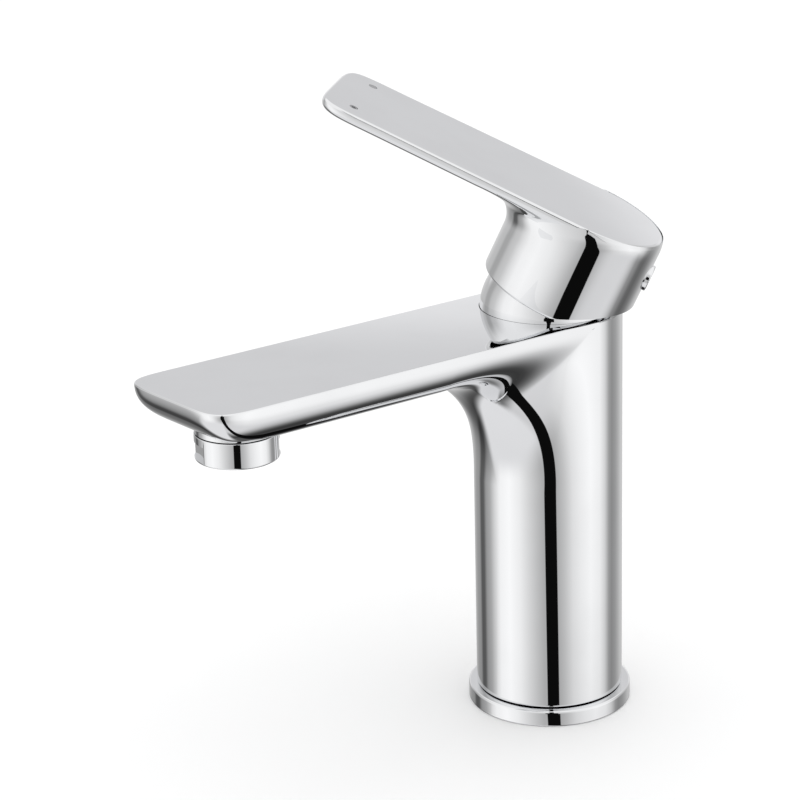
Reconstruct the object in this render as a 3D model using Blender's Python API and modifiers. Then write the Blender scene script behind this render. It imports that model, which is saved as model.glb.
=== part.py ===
"""Single-lever basin mixer, built as the separate pieces of the real tap.

Frame: metres, +Z up.  The origin is the centre of the base on the basin deck, the spout
points along -Y and +X is the cold side.  The lever stands lifted and swung to the hot side.
"""

from math import acos, cos, pi, radians, sin, tan

import bmesh
import bpy
from mathutils import Matrix, Vector

MM = 0.001
GAP = 0.3 * MM                      # clearance between neighbouring pieces

# Column and base
COLUMN_R = 22.5 * MM
BODY_FOOT_Z = 5.3 * MM
BASE_RING_R = 25.0 * MM
BASE_RING_TOP = 5.0 * MM
BASE_OPENING_R = 17.0 * MM
GASKET_R = 21.0 * MM
GASKET_H = 2.5 * MM
CAVITY_R = 19.3 * MM
CAVITY_TOP = 83.0 * MM

# Supply side in the column
HOSE_X = 8.5 * MM
HOSE_Y = 4.0 * MM
HOSE_R = 5.0 * MM
STUD_Y = -9.0 * MM
STUD_R = 3.4 * MM
MANIFOLD_R = 18.9 * MM
MANIFOLD_BOTTOM = 9.6 * MM
MANIFOLD_TOP = 27.0 * MM
TUBE_R = 4.0 * MM
TUBE_BORE_R = 3.1 * MM
TUBE_SEAT = 5.0 * MM                # how far a riser tube stands in its sockets

# Flat top of the body and the spout
TOP_Z = 126.4 * MM                  # top plane at the column's axis
SEAT_Z = 94.0 * MM                  # floor in the body that the cartridge stands on
TOP_SLOPE = 0.024                   # rise of the top plane per metre of reach
SPOUT_HALF_W = 22.0 * MM
SPOUT_DEPTH = 13.2 * MM
SPOUT_END = 137.8 * MM
SPOUT_TIP_LENGTH = 24.0 * MM        # length over which the tip rounds off
SPOUT_POWER = 3.2                   # squareness of the spout's section
SPOUT_BOW_POWER = 2.2               # squareness of the bow under the tip
PLAN_POWER = 6.0                    # squareness of the tip seen from above, spout and lever
TOP_CORNER_H = 5.0 * MM             # height over which a column's side leans to the arm's width
NECK_START_Z = 75.0 * MM            # where the column starts to sweep forward
NECK_END_REACH = 56.0 * MM          # where the neck has become the spout
CHANNEL_START = 48.0 * MM           # water channel of the spout
CHANNEL_OVERRUN = 4.0 * MM          # how far it runs past the centre of the aerator
CHANNEL_WIDTH = 25.0 * MM
CHANNEL_HEIGHT = 7.0 * MM
CHANNEL_DEPTH = 6.7 * MM            # its centre under the top plane
CHANNEL_CORNER = 2.5 * MM
RISER_CHANNEL_R = 2.9 * MM          # bore from the valve seat up into the channel
RISER_CHANNEL = [(8.0 * MM, SEAT_Z + 1.0 * MM), (8.0 * MM, SEAT_Z - 3.0 * MM),
                 (13.0 * MM, SEAT_Z - 5.6 * MM), (19.0 * MM, SEAT_Z - 4.0 * MM),
                 (23.5 * MM, SEAT_Z + 2.5 * MM), (27.0 * MM, SEAT_Z + 10.0 * MM),
                 (34.0 * MM, TOP_Z - 15.0 * MM), (44.0 * MM, TOP_Z - 9.0 * MM),
                 (54.0 * MM, TOP_Z - 6.0 * MM)]

# Aerator
AERATOR_REACH = 115.7 * MM
AERATOR_R = 11.85 * MM
AERATOR_BOTTOM = 108.1 * MM
AERATOR_TOP = 115.6 * MM
AERATOR_THREAD_R = 9.8 * MM
AERATOR_THREAD_H = 2.4 * MM
AERATOR_FLAT_TURN = radians(-23.0)
AERATOR_FLAT_DEPTH = 1.2 * MM
AERATOR_FLAT_FOOT = 0.6 * MM         # rim left below the wrench flats
AERATOR_FLAT_H = 4.7 * MM

# Cartridge: everything is stacked below the pivot of the lever
PIVOT_Z = 125.2 * MM
CARTRIDGE_R = 17.4 * MM
CHAMBER_R = 16.0 * MM
CARTRIDGE_SHOULDER = 117.6 * MM
CARTRIDGE_NECK_R = 12.6 * MM
CARTRIDGE_NECK_TOP = 123.7 * MM
ROTOR_NECK_R = 10.6 * MM
NUT_R = 18.9 * MM
NUT_SEAT = 117.9 * MM
NUT_THREAD_TOP = 122.5 * MM
DOME_R = 20.2 * MM
DOME_WALL = 1.4 * MM
DOME_FOOT = 123.1 * MM
DOME_OPENING_R = 11.0 * MM
STEM_ARM = 16.0 * MM                # pivot to the ball that drives the disc
PORTS = {"hot": (-7.0 * MM, 4.0 * MM), "cold": (7.0 * MM, 4.0 * MM), "outlet": (0.0, -8.0 * MM)}
PORT_R = 2.8 * MM
SEAL_R = 4.8 * MM
SEAL_DEPTH = 1.6 * MM
BASE_BOTTOM = SEAT_Z + GAP
BASE_TOP = BASE_BOTTOM + 3.5 * MM
FIXED_BOTTOM = BASE_TOP + GAP
FIXED_TOP = FIXED_BOTTOM + 3.2 * MM
MOVING_BOTTOM = FIXED_TOP + GAP
MOVING_TOP = MOVING_BOTTOM + 3.0 * MM
CARRIER_BOTTOM = MOVING_TOP + GAP
CARRIER_TOP = CARRIER_BOTTOM + 5.9 * MM
SOCKET_FLOOR = CARRIER_BOTTOM + 1.2 * MM    # the ball's lowest point clears it by the gap
ROTOR_BOTTOM = CARRIER_TOP + 0.4 * MM
ROTOR_FLANGE_H = 4.5 * MM
ROTOR_TOP = 130.2 * MM
BALL_R = 2.8 * MM
PIN_R = 1.4 * MM
PIN_HALF_LENGTH = 9.6 * MM

# Lever: the frame has its origin on the pivot, -Y towards the tip and +Z through the top
TURN = radians(-51.4)               # swung to the hot side
LIFT = radians(24.9)                # lifted fully open
STEM_LEAN = radians(12.5)           # the stem leans towards the tip inside the lever
SKIRT_R = 22.6 * MM
SKIRT_BORE_R = 20.9 * MM
SKIRT_BORE_TOP = 29.8 * MM
SKIRT_RIM = 5.3 * MM
RIM_CUT_START = 1.2 * MM            # behind the axis the rim rises, to clear the column
RIM_CUT_ANGLE = radians(20.0)
LEVER_TOP = 34.6 * MM
PADDLE_HALF_W = 20.7 * MM
PADDLE_ROOT_HALF_W = 21.9 * MM
PADDLE_DEPTH = 4.6 * MM
PADDLE_END = 85.4 * MM
PADDLE_TIP_LENGTH = 20.0 * MM
PADDLE_FILLET = 11.0 * MM
PADDLE_POWER = 4.0                  # squareness of the paddle's section
BOSS_R = 8.2 * MM
BOSS_FOOT = 20.8 * MM
SCREW_H = 22.6 * MM
MARK_REACH = 75.7 * MM
MARK_OFFSET = 13.3 * MM
MARK_R = 1.5 * MM
STEM_WIDTH = 8.0 * MM
STEM_TOP = 28.6 * MM
SCREW_R = 1.8 * MM
SCREW_LENGTH = 17.0 * MM
PLUG_R = 4.1 * MM

ROUND = 36                          # sides of a turned piece
FINE_ROUND = 48                     # sides of a turned piece that shows


def reset():
    for obj in list(bpy.data.objects):
        bpy.data.objects.remove(obj, do_unlink=True)


def collection(name):
    made = bpy.data.collections.new(name)
    bpy.context.scene.collection.children.link(made)
    return made


reset()
PARTS = collection("basin_mixer")
CUTTERS = collection("cutters")


# ---------------------------------------------------------------- materials

def material(name, colour, roughness, metallic):
    made = bpy.data.materials.new(name)
    made.use_nodes = True
    shader = made.node_tree.nodes["Principled BSDF"]
    shader.inputs["Base Color"].default_value = (*colour, 1.0)
    shader.inputs["Roughness"].default_value = roughness
    shader.inputs["Metallic"].default_value = metallic
    return made


def chrome(piece):
    return material(f"{piece}_chrome", (0.80, 0.80, 0.81), 0.06, 1.0)


def brass(piece):
    return material(f"{piece}_brass", (0.72, 0.53, 0.27), 0.3, 1.0)


def steel(piece):
    return material(f"{piece}_steel", (0.58, 0.58, 0.57), 0.25, 1.0)


def rubber(piece):
    return material(f"{piece}_rubber", (0.03, 0.03, 0.03), 0.75, 0.0)


def plastic(piece, colour=(0.78, 0.78, 0.75)):
    return material(f"{piece}_plastic", colour, 0.45, 0.0)


def ceramic(piece):
    return material(f"{piece}_ceramic", (0.88, 0.87, 0.84), 0.2, 0.0)


# ---------------------------------------------------------------- building blocks

def place(obj, parent=None, location=(0.0, 0.0, 0.0), rotation=(0.0, 0.0, 0.0)):
    obj.location = location
    obj.rotation_euler = rotation
    if parent:
        obj.parent = parent
    return obj


def shade(obj, angle=35.0):
    obj.data.shade_smooth()
    obj.data.set_sharp_from_angle(angle=radians(angle))


def from_bmesh(name, bm, look=None):
    """Object holding the bmesh: a part when it has a material, a cutter when it has none."""
    mesh = bpy.data.meshes.new(name)
    bm.to_mesh(mesh)
    bm.free()
    obj = bpy.data.objects.new(name, mesh)
    if look:
        PARTS.objects.link(obj)
        mesh.materials.append(look)
        shade(obj)
    else:
        CUTTERS.objects.link(obj)
        obj.hide_render = True
        obj.display_type = "WIRE"
    return obj


def turned(name, profile, look=None, steps=ROUND, parent=None, location=(0.0, 0.0, 0.0),
           rotation=(0.0, 0.0, 0.0), closed=False):
    """Solid of revolution about local Z; the profile of (radius, z) runs down its outer side.

    An open profile starts and ends on the axis; a closed one makes a ring.
    """
    bm = bmesh.new()
    points = [bm.verts.new((radius, 0.0, z)) for radius, z in profile]
    for first, second in zip(points, points[1:]):
        bm.edges.new((first, second))
    if closed:
        bm.edges.new((points[-1], points[0]))
    obj = from_bmesh(name, bm, look)
    screw = obj.modifiers.new("turn", "SCREW")
    screw.steps = screw.render_steps = steps
    screw.use_merge_vertices = True
    screw.merge_threshold = 0.000001
    screw.use_smooth_shade = True
    return place(obj, parent, location, rotation)


def disc_profile(radius, bottom, top):
    return [(0.0, top), (radius, top), (radius, bottom), (0.0, bottom)]


def ring_profile(outer, inner, bottom, top):
    return [(outer, top), (outer, bottom), (inner, bottom), (inner, top)]


def cylinder(name, radius, bottom, top, look=None, steps=ROUND, **where):
    return turned(name, disc_profile(radius, bottom, top), look, steps, **where)


def ring(name, outer, inner, bottom, top, look=None, steps=ROUND, **where):
    return turned(name, ring_profile(outer, inner, bottom, top), look, steps, closed=True, **where)


def box(name, size, look=None, parent=None, location=(0.0, 0.0, 0.0), rotation=(0.0, 0.0, 0.0),
        bevel=0.0):
    bm = bmesh.new()
    bmesh.ops.create_cube(bm, size=1.0, matrix=Matrix.Diagonal((*size, 1.0)))
    obj = from_bmesh(name, bm, look)
    if bevel:
        edge = obj.modifiers.new("edges", "BEVEL")
        edge.width = bevel
        edge.segments = 3
    return place(obj, parent, location, rotation)


def wedge(name, outline, half_width):
    """Cutter: the (reach, height) outline in the plane of the spout, extruded across it."""
    bm = bmesh.new()
    side = bm.faces.new([bm.verts.new((half_width, -reach, z)) for reach, z in outline])
    swept = bmesh.ops.extrude_face_region(bm, geom=[side], use_keep_orig=True)["geom"]
    moved = [part for part in swept if isinstance(part, bmesh.types.BMVert)]
    bmesh.ops.translate(bm, verts=moved, vec=(-2 * half_width, 0.0, 0.0))
    bmesh.ops.recalc_face_normals(bm, faces=bm.faces)
    return from_bmesh(name, bm)


def tube(name, points, radius, look=None, sides=3):
    """Round tube along the points, made a mesh with welded caps so that it can be cut or cut with."""
    curve = bpy.data.curves.new(f"{name}_path", "CURVE")
    curve.dimensions = "3D"
    curve.bevel_depth = radius
    curve.bevel_resolution = sides
    curve.use_fill_caps = True
    path = curve.splines.new("POLY")
    path.points.add(len(points) - 1)
    for knot, point in zip(path.points, points):
        knot.co = (*point, 1.0)
    guide = bpy.data.objects.new(f"{name}_guide", curve)
    CUTTERS.objects.link(guide)
    evaluated = guide.evaluated_get(bpy.context.evaluated_depsgraph_get())
    mesh = bpy.data.meshes.new_from_object(evaluated)
    bpy.data.objects.remove(guide, do_unlink=True)
    bm = bmesh.new()
    bm.from_mesh(mesh)
    bpy.data.meshes.remove(mesh)
    bmesh.ops.remove_doubles(bm, verts=bm.verts, dist=0.000001)
    bmesh.ops.recalc_face_normals(bm, faces=bm.faces)
    return from_bmesh(name, bm, look)


def boolean(obj, tool, operation="DIFFERENCE"):
    change = obj.modifiers.new(tool.name, "BOOLEAN")
    change.operation = operation
    change.object = tool
    return obj


def cut(obj, *tools):
    for tool in tools:
        boolean(obj, tool)
    return obj


def join(obj, *tools):
    for tool in tools:
        boolean(obj, tool, "UNION")
    return obj


def smooth_path(knots, steps):
    """Points of a Catmull-Rom curve through the knots."""
    knots = [Vector(k) for k in knots]
    ends = [2 * knots[0] - knots[1]] + knots + [2 * knots[-1] - knots[-2]]
    points = []
    for a, b, c, d in zip(ends, ends[1:], ends[2:], ends[3:]):
        for i in range(steps):
            t = i / steps
            points.append(0.5 * (2 * b + (c - a) * t + (2 * a - 5 * b + 4 * c - d) * t ** 2
                                 + (3 * b - a - 3 * c + d) * t ** 3))
    return points + [knots[-1]]


# ---------------------------------------------------------------- the column-and-arm shape

def arm_solid(name, shape, look, across=11, neck_steps=12, tip_steps=20):
    """Upright column whose front sweeps forward into a flat-topped arm along -Y.

    Each rib runs from a rail on one side, under the shape and up to the same rail on the
    other side, as a superellipse whose exponent goes from 2 (the round column) to the arm's.
    The rail goes up the column's side, then forward along the top edge.  At the tip the
    ribs fan out from one point under the arm to a superellipse plan outline.
    """
    radius, top, slope = shape["radius"], shape["top"], shape["slope"]
    reach_end, tip = shape["end"], shape["tip"]
    fan_reach = reach_end - tip
    neck_z, neck_reach = shape["neck_z"], shape["neck_reach"]
    root_w, end_w, depth = shape["root_w"], shape["end_w"], shape["depth"]

    def top_at(reach):
        return top + slope * reach

    def half_width(reach):
        return root_w + (end_w - root_w) * reach / fan_reach

    def superellipse(step, power):
        angle = 0.5 * pi * step / across
        return cos(angle) ** (2 / power), sin(angle) ** (2 / power)

    bm = bmesh.new()

    def rib(width, rail, centre, power):
        """Vertices from the +X rail down to the centre and up to the -X rail."""
        half = []
        for step in range(across + 1):
            side, drop = superellipse(step, power)
            reach = rail[0] + (centre[0] - rail[0]) * drop
            z = rail[1] + (centre[1] - rail[1]) * drop
            half.append((width * (side if step < across else 0.0), -reach, z))
        mirrored = [(-x, y, z) for x, y, z in reversed(half[:-1])]
        return [bm.verts.new(point) for point in half + mirrored]

    # (width, rail point, centre point, exponent, sits on the column's side)
    stations = [(radius, (0.0, shape["foot"]), (radius, shape["foot"]), 2.0, True),
                (radius, (0.0, neck_z), (radius, neck_z), 2.0, True)]
    under_z = top_at(neck_reach) - depth
    for step in range(1, neck_steps + 1):
        angle = 0.5 * pi * step / neck_steps
        centre = (neck_reach - (neck_reach - radius) * cos(angle),
                  neck_z + (under_z - neck_z) * sin(angle))
        climb = 2 * step / neck_steps
        power = 2.0 + (shape["power"] - 2.0) * step / neck_steps
        if climb <= 1.0:
            rail = (0.0, neck_z + (top - neck_z) * climb)
            lean = max(0.0, (rail[1] - (top - shape["lean_h"])) / shape["lean_h"]) ** 3
            width = radius + (root_w - radius) * lean
        else:
            rail = (neck_reach * (climb - 1.0), top_at(neck_reach * (climb - 1.0)))
            width = half_width(rail[0])
        stations.append((width, rail, centre, power, climb <= 1.0))
    stations.append((half_width(fan_reach), (fan_reach, top_at(fan_reach)),
                     (fan_reach, top_at(fan_reach) - depth), shape["power"], False))

    ribs = [rib(*station[:4]) for station in stations]
    for lower, upper in zip(ribs, ribs[1:]):
        for i in range(len(lower) - 1):
            bm.faces.new((lower[i], upper[i], upper[i + 1], lower[i + 1]))

    # Tip: half ribs from the plan outline to the pole under the arm
    last = ribs[-1]
    pole = last[across]
    spokes = [last[:across]]
    for step in range(1, tip_steps):
        angle = pi * step / tip_steps
        plan = shape["plan_power"]
        power = shape["power"] + (shape["bow_power"] - shape["power"]) * sin(angle)
        x_out = end_w * (1 if cos(angle) > 0 else -1) * abs(cos(angle)) ** (2 / plan)
        reach_out = tip * sin(angle) ** (2 / plan)
        spoke = []
        for k in range(across):
            side, drop = superellipse(k, power)
            reach = fan_reach + reach_out * side
            spoke.append(bm.verts.new((x_out * side, -reach, top_at(reach) - depth * drop)))
        spokes.append(spoke)
    spokes.append(list(reversed(last[across + 1:])))
    for first, second in zip(spokes, spokes[1:]):
        for k in range(across - 1):
            bm.faces.new((first[k], second[k], second[k + 1], first[k + 1]))
        bm.faces.new((first[-1], second[-1], pole))

    # Back half of the column, on the same heights as the rail
    back = []
    for station, front in zip(stations, ribs):
        if not station[4]:
            continue
        width, rail = station[0], station[1]
        at_top = rail[1] >= top
        arc = [front[-1]]
        for step in range(1, 2 * across):
            angle = pi * step / (2 * across)
            y = width * sin(angle)
            z = top_at(-y) if at_top else rail[1]
            arc.append(bm.verts.new((-width * cos(angle), y, z)))
        arc.append(front[0])
        back.append(arc)
    for lower, upper in zip(back, back[1:]):
        for i in range(len(lower) - 1):
            bm.faces.new((lower[i], upper[i], upper[i + 1], lower[i + 1]))

    # Flat top and foot
    side_rail = [r for r, station in zip(ribs, stations) if not station[4]]
    outline = list(back[-1])
    outline += [r[0] for r in side_rail]
    outline += [spoke[0] for spoke in spokes[1:-1]]
    outline += [r[-1] for r in reversed(side_rail)]
    bm.faces.new(outline)
    bm.faces.new(list(reversed(back[0])) + list(reversed(ribs[0][1:-1])))
    bmesh.ops.recalc_face_normals(bm, faces=bm.faces)
    return from_bmesh(name, bm, look)


# ---------------------------------------------------------------- fixed pieces

def spout_bottom(reach):
    return TOP_Z + TOP_SLOPE * reach - SPOUT_DEPTH


def faucet_body():
    """Chromed brass casting: hollow column, valve seat, swept neck and spout."""
    body = arm_solid("faucet_body", {
        "radius": COLUMN_R, "foot": BODY_FOOT_Z, "top": TOP_Z, "slope": TOP_SLOPE,
        "neck_z": NECK_START_Z, "neck_reach": NECK_END_REACH, "root_w": COLUMN_R,
        "end_w": SPOUT_HALF_W, "depth": SPOUT_DEPTH, "end": SPOUT_END,
        "tip": SPOUT_TIP_LENGTH, "power": SPOUT_POWER, "bow_power": SPOUT_BOW_POWER,
        "plan_power": PLAN_POWER, "lean_h": TOP_CORNER_H,
    }, chrome("faucet_body"))
    seat = (0.0, -AERATOR_REACH, 0.0)
    join(body, cylinder("aerator_boss", AERATOR_R - 0.2 * MM, AERATOR_TOP + GAP,
                        TOP_Z - 6.0 * MM, location=seat))
    over = TOP_Z + 10.0 * MM
    tools = [
        cylinder("column_cavity", CAVITY_R, 0.0, CAVITY_TOP),
        cylinder("cartridge_bore", CARTRIDGE_R + GAP, SEAT_Z, over),
        cylinder("nut_bore", NUT_R + GAP, NUT_SEAT - 2 * GAP, over),
        cylinder("dome_recess", DOME_R + 0.35 * MM, DOME_FOOT - GAP, over),
        cylinder("aerator_bore", AERATOR_THREAD_R + GAP, AERATOR_TOP - 2 * MM,
                 spout_bottom(AERATOR_REACH) + 3.6 * MM, steps=32, location=seat),
    ]
    channel_end = AERATOR_REACH + CHANNEL_OVERRUN
    channel_mid = 0.5 * (CHANNEL_START + channel_end)
    tools.append(box("spout_channel", (CHANNEL_WIDTH, channel_end - CHANNEL_START, CHANNEL_HEIGHT),
                     location=(0.0, -channel_mid, TOP_Z + TOP_SLOPE * channel_mid - CHANNEL_DEPTH),
                     rotation=(-TOP_SLOPE, 0.0, 0.0), bevel=CHANNEL_CORNER))
    path = smooth_path([(0.0, -reach, z) for reach, z in RISER_CHANNEL], 3)
    tools.append(tube("outlet_channel", path, RISER_CHANNEL_R))
    for side in ("hot", "cold"):
        x, y = PORTS[side]
        tools.append(cylinder(f"{side}_inlet_port", PORT_R, CAVITY_TOP - 1 * MM, SEAT_Z + 1 * MM,
                              steps=20, location=(x, y, 0.0)))
        tools.append(cylinder(f"{side}_tube_socket", TUBE_R + GAP, CAVITY_TOP - 1 * MM,
                              CAVITY_TOP + TUBE_SEAT, steps=20, location=(x, y, 0.0)))
    return cut(body, *tools)


def base_ring():
    """Chromed trim ring that the column stands on, with a spigot inside the column."""
    spigot_r = CAVITY_R - GAP
    profile = [(spigot_r, 9.0 * MM), (spigot_r, BASE_RING_TOP), (BASE_RING_R - 0.8 * MM, BASE_RING_TOP),
               (BASE_RING_R, BASE_RING_TOP - 0.6 * MM), (BASE_RING_R, 0.2 * MM),
               (GASKET_R + GAP, 0.2 * MM), (GASKET_R + GAP, GASKET_H + GAP),
               (BASE_OPENING_R, GASKET_H + GAP), (BASE_OPENING_R, 9.0 * MM)]
    return turned("base_ring", profile, chrome("base_ring"), steps=FINE_ROUND, closed=True)


def base_gasket():
    """Rubber deck seal with two hose holes and a stud hole."""
    gasket = cylinder("base_gasket", GASKET_R, 0.0, GASKET_H, rubber("base_gasket"))
    for side in (-1, 1):
        cut(gasket, cylinder(f"gasket_hose_hole_{side}", HOSE_R + 0.6 * MM, -MM, GASKET_H + MM,
                             steps=24, location=(side * HOSE_X, HOSE_Y, 0.0)))
    return cut(gasket, cylinder("gasket_stud_hole", STUD_R + 0.6 * MM, -MM, GASKET_H + MM,
                                steps=20, location=(0.0, STUD_Y, 0.0)))


def inlet_manifold():
    """Brass block in the foot of the column: two hose sockets and the stud socket."""
    block = cylinder("inlet_manifold", MANIFOLD_R, MANIFOLD_BOTTOM, MANIFOLD_TOP,
                     brass("inlet_manifold"))
    for side, name in ((-1, "hot"), (1, "cold")):
        where = {"location": (side * HOSE_X, HOSE_Y, 0.0)}
        port_x, port_y = PORTS[name]
        cut(block,
            cylinder(f"{name}_hose_socket", HOSE_R, 0.0, MANIFOLD_BOTTOM + 10 * MM, steps=24, **where),
            cylinder(f"{name}_socket_throat", 2.2 * MM, MANIFOLD_BOTTOM + 5 * MM, MANIFOLD_TOP - 3 * MM,
                     steps=16, location=(port_x, port_y, 0.0)),
            cylinder(f"{name}_riser_socket", TUBE_R + GAP, MANIFOLD_TOP - TUBE_SEAT,
                     MANIFOLD_TOP + MM, steps=20, location=(port_x, port_y, 0.0)))
    return cut(block, cylinder("stud_socket", STUD_R, 0.0, MANIFOLD_BOTTOM + 12 * MM, steps=20,
                               location=(0.0, STUD_Y, 0.0)))


def supply_tube(side):
    """Copper riser from the manifold to the valve seat, open right through."""
    x, y = PORTS[side]
    bottom = MANIFOLD_TOP - TUBE_SEAT + GAP
    top = CAVITY_TOP + TUBE_SEAT - GAP
    look = material(f"{side}_supply_tube_copper", (0.78, 0.42, 0.28), 0.3, 1.0)
    return ring(f"{side}_supply_tube", TUBE_R, TUBE_BORE_R, bottom, top, look, steps=20,
                location=(x, y, 0.0))


def cartridge_housing():
    """Plastic case of the cartridge: a cup over the discs with a neck for the rotor."""
    profile = [(CARTRIDGE_NECK_R, CARTRIDGE_NECK_TOP), (CARTRIDGE_NECK_R, CARTRIDGE_SHOULDER),
               (CARTRIDGE_R, CARTRIDGE_SHOULDER), (CARTRIDGE_R, SEAT_Z + 0.6 * MM),
               (CHAMBER_R, SEAT_Z + 0.6 * MM), (CHAMBER_R, CARTRIDGE_SHOULDER - 1.4 * MM),
               (ROTOR_NECK_R + GAP, CARTRIDGE_SHOULDER - 1.4 * MM),
               (ROTOR_NECK_R + GAP, CARTRIDGE_NECK_TOP)]
    return turned("cartridge_housing", profile, plastic("cartridge_housing"), closed=True)


def port_holes(piece, bottom, top, radius, tag, steps=20):
    for name, (x, y) in PORTS.items():
        cut(piece, cylinder(f"{tag}_{name}", radius, bottom, top, steps=steps, location=(x, y, 0.0)))
    return piece


def cartridge_base():
    """Plastic floor of the cartridge with three ports and the pockets of their seals."""
    base = cylinder("cartridge_base", CHAMBER_R - GAP, BASE_BOTTOM, BASE_TOP,
                    plastic("cartridge_base", (0.35, 0.40, 0.45)))
    port_holes(base, BASE_BOTTOM - MM, BASE_TOP + MM, PORT_R, "base_port")
    return port_holes(base, BASE_BOTTOM - MM, BASE_BOTTOM + SEAL_DEPTH, SEAL_R + GAP,
                      "seal_pocket", steps=24)


def port_seal(side):
    x, y = PORTS[side]
    return ring(f"port_seal_{side}", SEAL_R, PORT_R + 0.5 * MM, BASE_BOTTOM,
                BASE_BOTTOM + SEAL_DEPTH - GAP, rubber(f"port_seal_{side}"), steps=24,
                location=(x, y, 0.0))


def fixed_ceramic_disc():
    disc = cylinder("fixed_ceramic_disc", 14.2 * MM, FIXED_BOTTOM, FIXED_TOP,
                    ceramic("fixed_ceramic_disc"), steps=ROUND)
    return port_holes(disc, FIXED_BOTTOM - MM, FIXED_TOP + MM, PORT_R, "disc_port")


def retaining_nut():
    """Brass ring nut over the cartridge: threaded rim below, hexagon above."""
    hexagon_r = 16.5 * MM
    nut = cylinder("retaining_nut", NUT_R, NUT_SEAT, NUT_THREAD_TOP, brass("retaining_nut"))
    join(nut, cylinder("nut_hexagon", hexagon_r, NUT_SEAT + MM, NUT_THREAD_TOP + 3.5 * MM, steps=6))
    return cut(nut, cylinder("nut_hole", CARTRIDGE_NECK_R + GAP, NUT_SEAT - MM,
                             NUT_THREAD_TOP + 5 * MM))


def dome_profile():
    """Section of the dome: outside from the opening down to the foot, inside back up."""
    steps = 7

    def arc(radius):
        highest = acos(DOME_OPENING_R / radius)
        angles = [highest * (1 - i / steps) for i in range(steps + 1)]
        return [(radius * cos(angle), PIVOT_Z + radius * sin(angle)) for angle in angles]

    inner = DOME_R - DOME_WALL
    outside = arc(DOME_R) + [(DOME_R, DOME_FOOT)]
    inside = [(inner, DOME_FOOT)] + list(reversed(arc(inner)))
    return outside + inside


def dome_cap():
    """Chromed dome between the body and the lever, covering the nut."""
    return turned("dome_cap", dome_profile(), chrome("dome_cap"), steps=FINE_ROUND, closed=True)


def aerator_housing():
    """Chromed aerator sleeve, threaded above its shoulder, with two wrench flats."""
    profile = [(AERATOR_THREAD_R, AERATOR_TOP + AERATOR_THREAD_H), (AERATOR_THREAD_R, AERATOR_TOP),
               (AERATOR_R, AERATOR_TOP), (AERATOR_R, AERATOR_BOTTOM + 0.5 * MM),
               (AERATOR_R - 0.5 * MM, AERATOR_BOTTOM), (AERATOR_R - 2.2 * MM, AERATOR_BOTTOM),
               (AERATOR_R - 2.6 * MM, AERATOR_BOTTOM + 0.6 * MM),
               (AERATOR_R - 2.6 * MM, AERATOR_BOTTOM + 1.4 * MM),
               (AERATOR_THREAD_R - 1.2 * MM, AERATOR_BOTTOM + 1.4 * MM),
               (AERATOR_THREAD_R - 1.2 * MM, AERATOR_TOP + AERATOR_THREAD_H)]
    where = (0.0, -AERATOR_REACH, 0.0)
    housing = turned("aerator_housing", profile, chrome("aerator_housing"), location=where,
                     closed=True)
    flat_from_axis = AERATOR_R - AERATOR_FLAT_DEPTH
    flat_mid = AERATOR_BOTTOM + AERATOR_FLAT_FOOT + 0.5 * AERATOR_FLAT_H
    for side in (-1, 1):
        centre = Matrix.Rotation(AERATOR_FLAT_TURN, 3, "Z") @ Vector(
            (0.0, side * (flat_from_axis + 5 * MM), 0.0))
        cut(housing, box(f"wrench_flat_{side}", (24 * MM, 10 * MM, AERATOR_FLAT_H),
                         location=(centre.x, centre.y - AERATOR_REACH, flat_mid),
                         rotation=(0.0, 0.0, AERATOR_FLAT_TURN)))
    return housing


def aerator_insert():
    """Plastic flow former with a ring of slots, held in the aerator sleeve."""
    where = (0.0, -AERATOR_REACH, 0.0)
    bottom = AERATOR_BOTTOM + 1.8 * MM
    top = AERATOR_TOP - 1.0 * MM
    insert = cylinder("aerator_insert", AERATOR_THREAD_R - 1.2 * MM - GAP, bottom, top,
                      plastic("aerator_insert", (0.82, 0.82, 0.80)), steps=32, location=where)
    for index in range(8):
        angle = 2 * pi * index / 8
        x, y = 5.4 * MM * cos(angle), 5.4 * MM * sin(angle)
        cut(insert, cylinder(f"insert_hole_{index}", 1.2 * MM, bottom - MM, top + MM, steps=10,
                             location=(x, y - AERATOR_REACH, 0.0)))
    return cut(insert, cylinder("insert_centre_hole", 2.0 * MM, bottom - MM, top + MM, steps=14,
                                location=where))


def aerator_screen():
    """Fine steel strainer above the insert."""
    return cylinder("aerator_screen", AERATOR_THREAD_R - 1.2 * MM - GAP, AERATOR_TOP - 0.6 * MM,
                    AERATOR_TOP - 0.1 * MM, steel("aerator_screen"), steps=32,
                    location=(0.0, -AERATOR_REACH, 0.0))


def aerator_washer():
    """Rubber washer between the aerator and the spout's bore."""
    return ring("aerator_washer", AERATOR_THREAD_R - 0.1 * MM, 6.5 * MM,
                AERATOR_TOP + AERATOR_THREAD_H + GAP,
                AERATOR_TOP + AERATOR_THREAD_H + 1.3 * MM, rubber("aerator_washer"), steps=32,
                location=(0.0, -AERATOR_REACH, 0.0))


# ---------------------------------------------------------------- pieces that turn with the lever

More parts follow.
